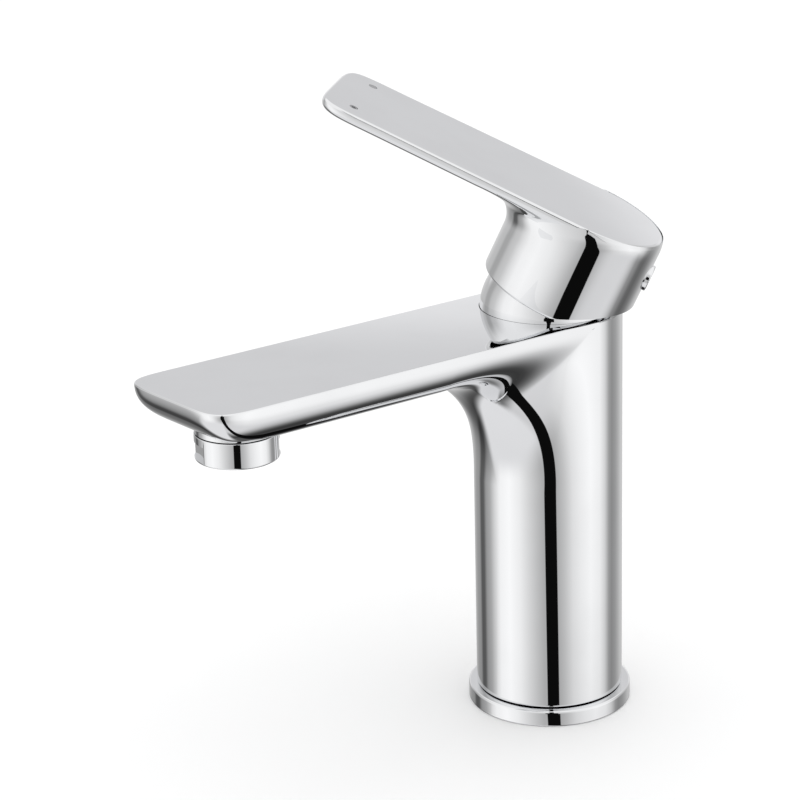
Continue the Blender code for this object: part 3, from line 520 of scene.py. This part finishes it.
def brass_look(name, colour, pitch):
    """Turned metal: lathe lines across the axis, light tarnish in patches."""
    def build(n):
        _, _, z = n.axes()
        lines = (z * (2 * pi / pitch) + n.noise(500.0) * 1.2).sine()
        tarnish = n.noise(160.0, 4.0).step(0.5, 0.8)
        return {"Base Color": n.mix(tarnish, colour, tinted(colour, 0.62)),
                "Roughness": 0.2 + tarnish * 0.25 + lines * 0.02,
                "height": (0.3, 0.03 * MM, lines)}
    return material(name, build, metallic=1.0)


def rubber_look(colour):
    """Matt rubber: fine grain and a paler bloom in patches."""
    def build(n):
        grain = n.noise(2400.0, 3.0)
        bloom = n.noise(120.0, 3.0).step(0.45, 0.8)
        return {"Base Color": n.mix(bloom, colour, (0.05, 0.05, 0.052)), "Roughness": 0.62 + grain * 0.25,
                "height": (0.35, 0.05 * MM, grain)}
    return material("seal_rubber", build)


def plastic_look(name, colour, gloss=0.42):
    """Moulded plastic: fine grain and long shallow flow marks."""
    def build(n):
        grain = n.noise(3000.0, 2.0)
        flow = n.noise(60.0, 3.0, (1.0, 1.0, 0.3))
        return {"Base Color": n.mix(flow, tinted(colour, 0.93), tinted(colour, 1.04)),
                "Roughness": gloss + grain * 0.12,
                "height": (0.2, 0.03 * MM, grain)}
    return material(name, build, IOR=1.46)


def ceramic_look(colour):
    """Lapped ceramic: smooth, with small duller speckles."""
    def build(n):
        speckle = n.noise(1800.0, 4.0).step(0.55, 0.75)
        return {"Base Color": n.mix(speckle, colour, tinted(colour, 0.9)), "Roughness": 0.12 + speckle * 0.1}
    return material("lapped_ceramic", build, IOR=1.76)


def strainer_look(colour, pitch=0.5 * MM):
    """Woven wire: sin(2 pi x / pitch) sin(2 pi y / pitch), the over and under of two sets of wires, with painted
    shade that turns the low parts near black.
    """
    def build(n):
        x, y, _ = n.axes()
        weave_and_shade = (x * (2 * pi / pitch)).sine() * (y * (2 * pi / pitch)).sine()
        # painted shade: where the weave is low the steel's colour falls to near black
        return {"Base Color": n.mix(weave_and_shade.step(-0.2, 0.6), (0.03, 0.03, 0.03), colour),
                "Roughness": 0.3 + n.noise(900.0) * 0.1, "height": (0.8, 0.1 * MM, weave_and_shade)}
    return material("woven_steel", build, metallic=1.0)


# ---------------------------------------------------------------- pieces

def sizes():
    """The scene's groups of sizes and colours: body, lever, aerator, colours."""
    scene = bpy.context.scene
    return scene.mixer_body, scene.mixer_lever, scene.mixer_aerator, scene.mixer_colours


def shared(name, make, *arguments):
    """The material of that name, made once."""
    return bpy.data.materials.get(name) or make(*arguments)


def chrome():
    """The plating that all the polished pieces share."""
    return shared("polished_chrome", chrome_look, tuple(sizes()[3].chrome))


SLOPE = 0.024                       # rise of the body's flat top per metre of reach
CAVITY_R, CAVITY_TOP = 19.3 * MM, 83.0 * MM
SEAT_Z = 94.0 * MM
BORE_R = 17.7 * MM
NUT_BORE_R, NUT_SEAT = 19.2 * MM, 117.3 * MM
DOME_FOOT = 123.1 * MM
SPOUT_POWER, SPOUT_BOW_POWER = 3.2, 2.2     # how square the spout is in section, and at its tip
CHANNEL_SIZE, CHANNEL_ROUND = (25.0 * MM, 7.0 * MM), 2.5 * MM
CHANNEL_START, CHANNEL_DROP = 48.0 * MM, 6.7 * MM
PORT_R, SOCKET_R, SOCKET_DEPTH = 2.8 * MM, 4.3 * MM, 5 * MM


class MIXER_OT_column(bpy.types.Operator):
    """Builds the column, neck and spout as one polished casting with its bores"""
    bl_idname = "mixer.column"
    bl_label = "Column and spout"

    def execute(self, context):
        body, _, aerator, _ = sizes()
        piece = arm("column_and_spout", body.column_radius, body.foot_z, body.top_z, SLOPE, body.neck_z,
                    body.neck_reach, body.column_radius, body.spout_half_width, body.spout_depth,
                    body.spout_end, body.tip_length, SPOUT_POWER, SPOUT_BOW_POWER, body.edge_round)
        settle(piece)
        seat = Matrix.Translation((0.0, -aerator.reach, 0.0))
        over = body.top_z + 10 * MM
        boss = rod("boss", aerator.radius - 0.2 * MM, aerator.top + GAP, body.top_z - 6 * MM, 96, seat)
        cuts = [rod("cavity", CAVITY_R, -MM, CAVITY_TOP, 96), rod("bore", BORE_R, SEAT_Z, over, 96),
                rod("nut_bore", NUT_BORE_R, NUT_SEAT, over, 96),
                rod("recess", body.dome_radius + 0.1 * MM, DOME_FOOT - GAP, over, 128),
                rod("thread", aerator.thread_radius + GAP, aerator.top - 2 * MM,
                    body.top_z + SLOPE * aerator.reach - body.spout_depth + 3.6 * MM, 96, seat)]
        end = aerator.reach + 4.0 * MM
        middle = 0.5 * (CHANNEL_START + end)
        channel = Matrix.Translation((0.0, -middle, body.top_z + SLOPE * middle - CHANNEL_DROP))
        cuts.append(block("channel", (CHANNEL_SIZE[0], end - CHANNEL_START, CHANNEL_SIZE[1]),
                          channel @ Matrix.Rotation(-SLOPE, 4, "X"), CHANNEL_ROUND))
        for index, (x, y) in enumerate(INLETS):
            place = Matrix.Translation((x, y, 0.0))
            cuts.append(rod(f"port_{index}", PORT_R, CAVITY_TOP - MM, SEAT_Z + MM, 32, place))
            cuts.append(rod(f"socket_{index}", SOCKET_R, CAVITY_TOP - MM, CAVITY_TOP + SOCKET_DEPTH, 32, place))
        carve(piece, cuts, [boss])
        fit(piece, "faucet", ["faucet_body"], chrome())
        return {"FINISHED"}


class MIXER_OT_foot_ring(bpy.types.Operator):
    """Builds the trim ring between the column and the deck"""
    bl_idname = "mixer.foot_ring"
    bl_label = "Foot ring"

    def execute(self, context):
        body = sizes()[0]
        spigot = CAVITY_R - GAP
        outer, top = body.ring_radius, body.ring_top
        foot, spigot_top, edge = 0.2 * MM, 9 * MM, 0.3 * MM
        hole, recess, recess_top = 17 * MM, 21.3 * MM, 2.8 * MM
        profile = [(spigot, spigot_top, edge), (spigot, top), (outer, top, 0.75 * MM),
                   (outer, foot, 0.25 * MM), (recess, foot), (recess, recess_top),
                   (hole, recess_top), (hole, spigot_top, edge)]
        piece = turned("foot_ring", softened(profile, closed=True), 160, closed=True)
        fit(piece, "faucet", ["base_ring"], chrome())
        return {"FINISHED"}


class MIXER_OT_dome(bpy.types.Operator):
    """Builds the thin dome that covers the cartridge's nut"""
    bl_idname = "mixer.dome"
    bl_label = "Dome"

    def execute(self, context):
        body = sizes()[0]
        wall, opening = 1.4 * MM, 11 * MM
        outside = body.dome_radius
        inside = outside - wall
        swing = np.linspace(0.0, 1.0, 49)
        outer = (1 - swing) * acos(opening / outside)
        inner = swing * acos(opening / inside)
        over = np.stack([outside * np.cos(outer), PIVOT.z + outside * np.sin(outer)], axis=1)
        under = np.stack([inside * np.cos(inner), PIVOT.z + inside * np.sin(inner)], axis=1)
        foot = softened([(outside, PIVOT.z), (outside, DOME_FOOT, 0.3 * MM), (inside, DOME_FOOT, 0.3 * MM),
                         (inside, PIVOT.z)])
        profile = np.concatenate([over[:-1], foot, under[1:]])
        fit(turned("dome", profile, 160, closed=True), "faucet", ["dome_cap"], chrome())
        return {"FINISHED"}


SCREW_H = 22.6 * MM
BORE_TOP = 29.8 * MM
STEM_WIDTH = 8.0 * MM
STEM_TOP = 28.6 * MM
SKIRT_BORE_R, SKIRT_SLANT = 20.9 * MM, radians(20.0)
PADDLE_ROOT, PADDLE_TIP, PADDLE_POWER = 21.9 * MM, 20 * MM, 4.0
MARKS = ((-13.3 * MM, 75.7 * MM), (13.3 * MM, 75.7 * MM))


def stem_place(along):
    """Matrix on the leaning stem's axis at a distance above the pivot, in the lever's frame."""
    point = (0.0, -along * sin(STEM_LEAN), along * cos(STEM_LEAN))
    return Matrix.Translation(point) @ Matrix.Rotation(STEM_LEAN, 4, "X")


def rearward(x, y, z):
    """Matrix that turns a piece made along +Z to point to the back of the lever."""
    return Matrix.Translation((x, y, z)) @ Matrix.Rotation(radians(-90), 4, "X")


class MIXER_OT_lever(bpy.types.Operator):
    """Builds the lever: the hollow skirt over the dome and the flat paddle"""
    bl_idname = "mixer.lever"
    bl_label = "Lever"

    def execute(self, context):
        lever = sizes()[1]
        fillet, radius = 11.0 * MM, lever.skirt_radius
        piece = arm("lever", radius, lever.skirt_rim, lever.top, 0.0, lever.top - lever.depth - fillet,
                    radius + fillet, PADDLE_ROOT, lever.half_width, lever.depth, lever.end, PADDLE_TIP,
                    PADDLE_POWER, PADDLE_POWER, lever.edge_round, neck=60)
        settle(piece)
        far, low, cut_start = 40 * MM, lever.skirt_rim - 10 * MM, 1.2 * MM
        rise = lever.skirt_rim + (far - cut_start) * tan(SKIRT_SLANT)
        rim_cut = prism("rim_cut", [(-cut_start, low), (-cut_start, lever.skirt_rim), (-far, rise),
                                    (-far, low)], far)
        stem_reach = SCREW_H * tan(STEM_LEAN)
        slant, chamfer = 1.5 * MM, 0.35 * MM
        mouth = SKIRT_BORE_R + chamfer
        bore = turned("bore", [(0.0, BORE_TOP), (SKIRT_BORE_R - slant, BORE_TOP),
                               (SKIRT_BORE_R, BORE_TOP - slant), (SKIRT_BORE_R, lever.skirt_rim + chamfer),
                               (mouth, lever.skirt_rim), (mouth, low), (0.0, low)], 128)
        carve(piece, [bore, rim_cut])
        boss = rod("boss", 8.2 * MM, 20.8 * MM, BORE_TOP + 2 * MM, 64,
                   Matrix.Translation((0.0, -stem_reach, 0.0)))
        pad_front, pad_back = 15.5 * MM, radius - 0.8 * MM
        pad_low, pad_high = SCREW_H - 5 * MM, BORE_TOP + 2 * MM
        pad = block("pad", (9.6 * MM, pad_back - pad_front, pad_high - pad_low),
                    Matrix.Translation((0.0, 0.5 * (pad_back + pad_front), 0.5 * (pad_high + pad_low))))
        socket = block("socket", (STEM_WIDTH + 2 * GAP, STEM_WIDTH + 2 * GAP, 12 * MM),
                       stem_place(STEM_TOP + GAP - 6 * MM))
        cuts = [socket, rod("screw_hole", 2.1 * MM, 0.0, 30 * MM, 40, rearward(0.0, -stem_reach, SCREW_H)),
                rod("plug_seat", lever.plug_radius + GAP, radius - 2.4 * MM, radius + 5 * MM, 64,
                    rearward(0.0, 0.0, SCREW_H))]
        cuts += [rod(f"mark_{index}", lever.mark_radius + 0.1 * MM, lever.top - 0.9 * MM, lever.top + MM, 40,
                     Matrix.Translation((x, -reach, 0.0))) for index, (x, reach) in enumerate(MARKS)]
        carve(piece, cuts, [boss, pad])
        fit(piece, "lever", ["lever_handle"], chrome(), LEVER_PLACE)
        return {"FINISHED"}


class MIXER_OT_plug(bpy.types.Operator):
    """Builds the button over the lever's screw, with its sunk face"""
    bl_idname = "mixer.plug"
    bl_label = "Screw plug"

    def execute(self, context):
        lever = sizes()[1]
        r, front = lever.plug_radius, lever.skirt_radius + 0.9 * MM
        inner, sunk = r - 1.1 * MM, front - 1.9 * MM
        profile = [(0.0, sunk), (inner, sunk, 0.2 * MM), (inner + 0.1 * MM, front, 0.25 * MM),
                   (r - 0.1 * MM, front, 0.4 * MM),
                   (r, lever.skirt_radius - 2.1 * MM), (0.0, lever.skirt_radius - 2.1 * MM)]
        piece = turned("screw_button", softened(profile), 96)
        place = LEVER_PLACE @ rearward(0.0, 0.0, SCREW_H)
        look = button_look(tuple(sizes()[3].chrome), place @ Vector((0.0, 0.0, sunk)), place.col[2][:3],
                           inner)
        fit(piece, "lever", ["screw_plug"], look, place)
        return {"FINISHED"}


class MIXER_OT_marks(bpy.types.Operator):
    """Builds the two inlaid marks: a dot for hot and a ring for cold"""
    bl_idname = "mixer.marks"
    bl_label = "Hot and cold marks"

    def execute(self, context):
        _, lever, _, colours = sizes()
        look = plastic_look("mark_enamel", tuple(colours.enamel), 0.3)
        r, top, low = lever.mark_radius, lever.top, lever.top - 0.6 * MM
        dot = [(0.0, top), (r, top, 0.12 * MM), (r, low), (0.0, low)]
        inner = r - 0.4 * MM
        circle = [(r, top, 0.12 * MM), (r, low), (inner, low), (inner, top, 0.12 * MM)]
        places = [LEVER_PLACE @ Matrix.Translation((x, -reach, 0.0)) for x, reach in MARKS]
        fit(turned("hot_dot", softened(dot), 48), "lever", ["hot_mark"], look, places[0])
        fit(turned("cold_ring", softened(circle, closed=True), 48, closed=True), "lever", ["cold_mark"],
            look, places[1])
        return {"FINISHED"}


FLAT_TURN = radians(-23.0)          # the wrench flats stand askew of the spout


class MIXER_OT_aerator(bpy.types.Operator):
    """Builds the aerator's sleeve with its wrench flats and its thread"""
    bl_idname = "mixer.aerator"
    bl_label = "Aerator"

    def execute(self, context):
        aerator = sizes()[2]
        r, low, top, thread = aerator.radius, aerator.bottom, aerator.top, aerator.thread_radius
        crest = top + aerator.thread_height
        bore = thread - 1.2 * MM
        turns, pitch, cut_depth = 3, 0.75 * MM, 0.4 * MM
        teeth = [(thread - cut_depth * (k % 2), crest - 0.5 * pitch * (k + 0.2)) for k in range(2 * turns)]
        lip, ledge = r - 2.6 * MM, low + 1.4 * MM
        profile = [*teeth, (thread, top), (r, top, 0.3 * MM), (r, low, 0.55 * MM),
                   (r - 2.2 * MM, low, 0.3 * MM), (lip, low + 0.6 * MM, 0.2 * MM), (lip, ledge),
                   (bore, ledge), (bore, crest)]
        seat = Matrix.Translation((0.0, -aerator.reach, 0.0))
        piece = turned("aerator_sleeve", softened(profile, closed=True), 160, closed=True, place=seat)
        cuts = []
        flat_foot, flat_height, cut_width = 0.6 * MM, 4.7 * MM, 10 * MM
        turn = Matrix.Rotation(FLAT_TURN, 4, "Z")
        for side in (-1, 1):
            away = r - aerator.flat_depth + 0.5 * cut_width
            middle = (0.0, side * away, low + flat_foot + 0.5 * flat_height)
            cuts.append(block(f"flat_{side}", (24 * MM, cut_width, flat_height),
                              seat @ turn @ Matrix.Translation(middle)))
        carve(piece, cuts)
        fit(piece, "faucet", ["aerator_housing"], chrome())
        return {"FINISHED"}


class MIXER_OT_inner_finishes(bpy.types.Operator):
    """Gives the pieces inside the mixer their finishes"""
    bl_idname = "mixer.inner_finishes"
    bl_label = "Inner finishes"

    def execute(self, context):
        colours = sizes()[3]
        brass = brass_look("machined_brass", tuple(colours.brass), 0.25 * MM)
        copper = brass_look("drawn_copper", tuple(colours.copper), 1.6 * MM)
        steel = brass_look("turned_steel", tuple(colours.steel), 0.2 * MM)
        rubber = rubber_look(tuple(colours.rubber))
        ceramic = ceramic_look(tuple(colours.ceramic))
        finishes = {
            "inlet_manifold": brass, "retaining_nut": brass, "lever_stem": brass,
            "hot_supply_tube": copper, "cold_supply_tube": copper, "hinge_pin": steel, "grub_screw": steel,
            "base_gasket": rubber, "aerator_washer": rubber, "port_seal_hot": rubber,
            "port_seal_cold": rubber, "port_seal_outlet": rubber,
            "fixed_ceramic_disc": ceramic, "moving_ceramic_disc": ceramic,
            "cartridge_housing": plastic_look("case_plastic", (0.78, 0.78, 0.75)),
            "cartridge_base": plastic_look("base_plastic", (0.35, 0.40, 0.45)),
            "cartridge_rotor": plastic_look("rotor_plastic", (0.55, 0.57, 0.60)),
            "disc_carrier": plastic_look("carrier_plastic", (0.20, 0.35, 0.55)),
            "aerator_insert": plastic_look("insert_plastic", (0.80, 0.80, 0.78)),
            "aerator_screen": strainer_look(tuple(colours.steel)),
        }
        for node, look in finishes.items():
            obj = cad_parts[node]
            obj.data.materials.clear()
            obj.data.materials.append(look)
        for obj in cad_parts.values():
            if obj.name not in finishes:
                obj.data.materials.clear()
                obj.data.materials.append(chrome())
        return {"FINISHED"}


# ---------------------------------------------------------------- stage

def directions(azimuth):
    """Unit vectors towards the camera's side and across it, level with the floor."""
    return Vector((sin(azimuth), -cos(azimuth), 0.0)), Vector((cos(azimuth), sin(azimuth), 0.0))


# The heights in tent_look are sines of the angle above the horizon.
SLOT_BEND = -0.328                  # below this height the slot drifts aside
SLOT_HALF = (0.142, 0.156)          # the slot's half width, from full dark to full light
SLOT_LEVEL = (0.004, 0.004, 0.004)
FLOOR_LEVEL, FLOOR_WHITE = 0.15, (0.82, 0.82, 0.83)
ROOF_WHITE = (0.98, 0.98, 0.98)
REAR_GREYS = (0.86, 0.86, 0.87), (0.68, 0.68, 0.69)
# The walls' brightness at angles in degrees round the mixer; the camera stands at 0.
WALL_LEVELS = [
    (-180, .66), (-165, .50), (-150, .35), (-139, .32), (-132, .11), (-123, .12), (-116, .34),
    (-105, .46), (-95, .74), (-84, 1.0), (-66, 1.08), (-48, .95), (-35, .77), (-22, .60), (-10, .46),
    (10, .46), (22, .62), (35, .85), (48, .97), (66, 1.08), (84, .98), (95, .74), (105, .37),
    (113, .29), (125, .36), (136, .48), (146, .60), (162, .62), (180, .66)]


def tent_look(azimuth, light):
    """White walls that fade towards the corners, a dark slot beside the camera and grey above.

    The walls' brightness is a curve of the angle round the mixer, counted from the camera:
    two wide soft panels at about 65 degrees on each side, grey behind, and the slot between.
    The floor is white beside the camera and falls to a seventh of the walls behind the mixer.
    Below its bend the slot drifts aside by 0.55 of the depth and narrows by a third, so that it
    passes under the mixer and comes up behind it.  Overhead it is less than half as wide.
    """
    made = bpy.data.materials.new("light_tent")
    made.use_nodes = True
    tree = made.node_tree
    tree.nodes.clear()
    n = Nodes(tree)
    towards, across = directions(azimuth)
    x, y, z = n.axes(n.node("ShaderNodeVectorMath", {"operation": "NORMALIZE"}, {0: n.coordinates()}))
    front = x * towards.x + y * towards.y
    side = x * across.x + y * across.y
    angle = side.maths("ARCTAN2", front) / (2 * pi) + 0.5
    stops = [((degrees + 180) / 360, level) for degrees, level in WALL_LEVELS]
    walls = n.node("ShaderNodeValToRGB", {"stops": stops}, {0: angle})
    left = 1 - side.step(-0.08, 0.08)
    near_left = (front - z * 0.6).step(-0.12, 0.24)
    near_right = (front + z * 0.6).step(-0.60, -0.08) * 0.85
    floor_light = left * near_left + (1 - left) * near_right
    dusk = FLOOR_LEVEL + (1 - FLOOR_LEVEL) * z.step(-0.80, -0.30).maths("MAXIMUM", floor_light)
    walls = n.mix((1 - z.step(-0.62, -0.40)) * floor_light, walls, FLOOR_WHITE)
    walls = n.mix(z.step(-0.30, -0.05) * 0.35, walls, (1.0, 1.0, 1.0))
    roof = z.step(0.50, 0.75)
    white = n.mix(roof, n.mix(dusk, (0.0, 0.0, 0.0), walls), ROOF_WHITE)
    behind = (front * -1.0).step(0.72, 0.84) * z.step(0.08, 0.20)
    tops = n.mix(z.step(0.312, 0.345), *REAR_GREYS)
    drift = side + 0.55 * (z - SLOT_BEND).maths("MINIMUM", 0.0)
    drift = drift * (1.45 - 0.45 * z.step(-0.80, SLOT_BEND) + 2.2 * z.step(0.05, 0.30))
    open_side = front.step(0.0, 0.1).maths("MAXIMUM", (z * -1.0).step(0.46, 0.80))
    slot = (1 - drift.size().step(*SLOT_HALF)) * open_side * (1 - z.step(0.82, 0.93))
    level = n.mix(slot, n.mix(behind, white, tops), SLOT_LEVEL)
    shine = n.node("ShaderNodeEmission", None, {"Color": level, "Strength": light})
    output = tree.nodes.new("ShaderNodeOutputMaterial")
    tree.links.new(shine.socket, output.inputs["Surface"])
    return made


CAMERA_PLACE = (0.5944, -0.5448, 0.3771)
SKY_STRENGTH = 1.12
LAMP_POWER, LAMP_WIDTH, LAMP_DEPTH = 2.0, 1.2, 0.8
LAMP_OFFSET = Vector((0.3, -0.2, 1.3))
LAMP_LEAN = Euler((radians(-10), radians(12), 0.0))
TENT_RADIUS, FLOOR_REACH = 2.2, 6.0


class MIXER_OT_stage(bpy.types.Operator):
    """Sets the floor, the light tent, the soft light and the camera"""
    bl_idname = "mixer.stage"
    bl_label = "Stage"

    def execute(self, context):
        scene = context.scene
        studio, colours = scene.mixer_studio, sizes()[3]
        scene.view_settings.view_transform = "Standard"

        span = np.linspace(-FLOOR_REACH, FLOOR_REACH, 13)
        x, y = np.meshgrid(span, span, indexing="ij")
        floor = shell("floor", [np.stack([x, y, np.zeros_like(x)], axis=-1)])
        floor.data.materials.append(material("floor_paint", lambda n: {
            "Base Color": n.mix(n.noise(14.0), tuple(colours.floor), tinted(tuple(colours.floor), 0.985)),
            "Roughness": 0.7 + n.noise(40.0) * 0.1}))
        floor.visible_glossy = False

        turn, rise = np.meshgrid(np.linspace(0, 2 * pi, 97), np.linspace(-0.5 * pi, 0.5 * pi, 49),
                                 indexing="ij")
        ball = np.stack([np.cos(turn) * np.cos(rise), np.sin(turn) * np.cos(rise), np.sin(rise)], axis=-1)
        tent = shell("light_tent", [TENT_RADIUS * ball])
        tent.data.shade_smooth()
        tent.data.materials.append(tent_look(studio.azimuth, studio.light))
        for name in ("camera", "diffuse", "transmission", "volume_scatter", "shadow"):
            setattr(tent, f"visible_{name}", False)
        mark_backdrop(floor, tent)

        world = bpy.data.worlds.new("studio")
        world.use_nodes = True
        sky = world.node_tree.nodes["Background"]
        sky.inputs["Color"].default_value = (1.0, 1.0, 1.0, 1.0)
        sky.inputs["Strength"].default_value = SKY_STRENGTH
        scene.world = world

        low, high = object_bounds()
        lamp = bpy.data.lights.new("soft_panel", "AREA")
        lamp.energy, lamp.shape, lamp.size, lamp.size_y = LAMP_POWER, "RECTANGLE", LAMP_WIDTH, LAMP_DEPTH
        panel = bpy.data.objects.new("soft_panel", lamp)
        scene.collection.objects.link(panel)
        panel.location = (low + high) / 2 + LAMP_OFFSET
        panel.rotation_euler = LAMP_LEAN
        panel.visible_glossy = False

        towards, right = directions(studio.azimuth)
        back = towards * cos(studio.elevation) + Vector((0.0, 0.0, sin(studio.elevation)))
        up = back.cross(right)
        c, s = cos(studio.roll), sin(studio.roll)
        right, up = right * c + up * s, up * c - right * s
        lens = bpy.data.cameras.new("camera")
        lens.lens, lens.sensor_width = studio.lens, 36.0
        camera = bpy.data.objects.new("camera", lens)
        scene.collection.objects.link(camera)
        place = Matrix((right, up, back)).transposed().to_4x4()
        place.translation = CAMERA_PLACE
        camera.matrix_world = place
        scene.camera = camera
        return {"FINISHED"}


# ---------------------------------------------------------------- add-on

PIECE_OPERATORS = (MIXER_OT_column, MIXER_OT_foot_ring, MIXER_OT_dome, MIXER_OT_lever, MIXER_OT_plug,
                   MIXER_OT_marks, MIXER_OT_aerator, MIXER_OT_inner_finishes, MIXER_OT_stage)
GROUPS = {"mixer_body": MixerBodySizes, "mixer_lever": MixerLeverSizes, "mixer_aerator": MixerAeratorSizes,
          "mixer_colours": MixerColours, "mixer_studio": MixerStudio}


class MIXER_PT_pieces(bpy.types.Panel):
    """Lists the mixer's pieces"""
    bl_idname = "MIXER_PT_pieces"
    bl_label = "Basin mixer"
    bl_space_type = "VIEW_3D"
    bl_region_type = "UI"
    bl_category = "Basin mixer"

    def draw(self, context):
        for operator in PIECE_OPERATORS:
            self.layout.operator(operator.bl_idname)


def register():
    """Registers the classes and gives the scene its groups of settings."""
    for made in (*GROUPS.values(), *PIECE_OPERATORS, MIXER_PT_pieces):
        bpy.utils.register_class(made)
    for name, group in GROUPS.items():
        setattr(bpy.types.Scene, name, PointerProperty(type=group))


def unregister():
    """Takes everything away again in the reverse order."""
    for name in GROUPS:
        delattr(bpy.types.Scene, name)
    for made in (MIXER_PT_pieces, *reversed(PIECE_OPERATORS), *reversed(GROUPS.values())):
        bpy.utils.unregister_class(made)


def main():
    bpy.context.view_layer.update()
    register()
    for operator in PIECE_OPERATORS:
        group, name = operator.bl_idname.split(".")
        getattr(getattr(bpy.ops, group), name)()


if __name__ == "__main__":
    main()
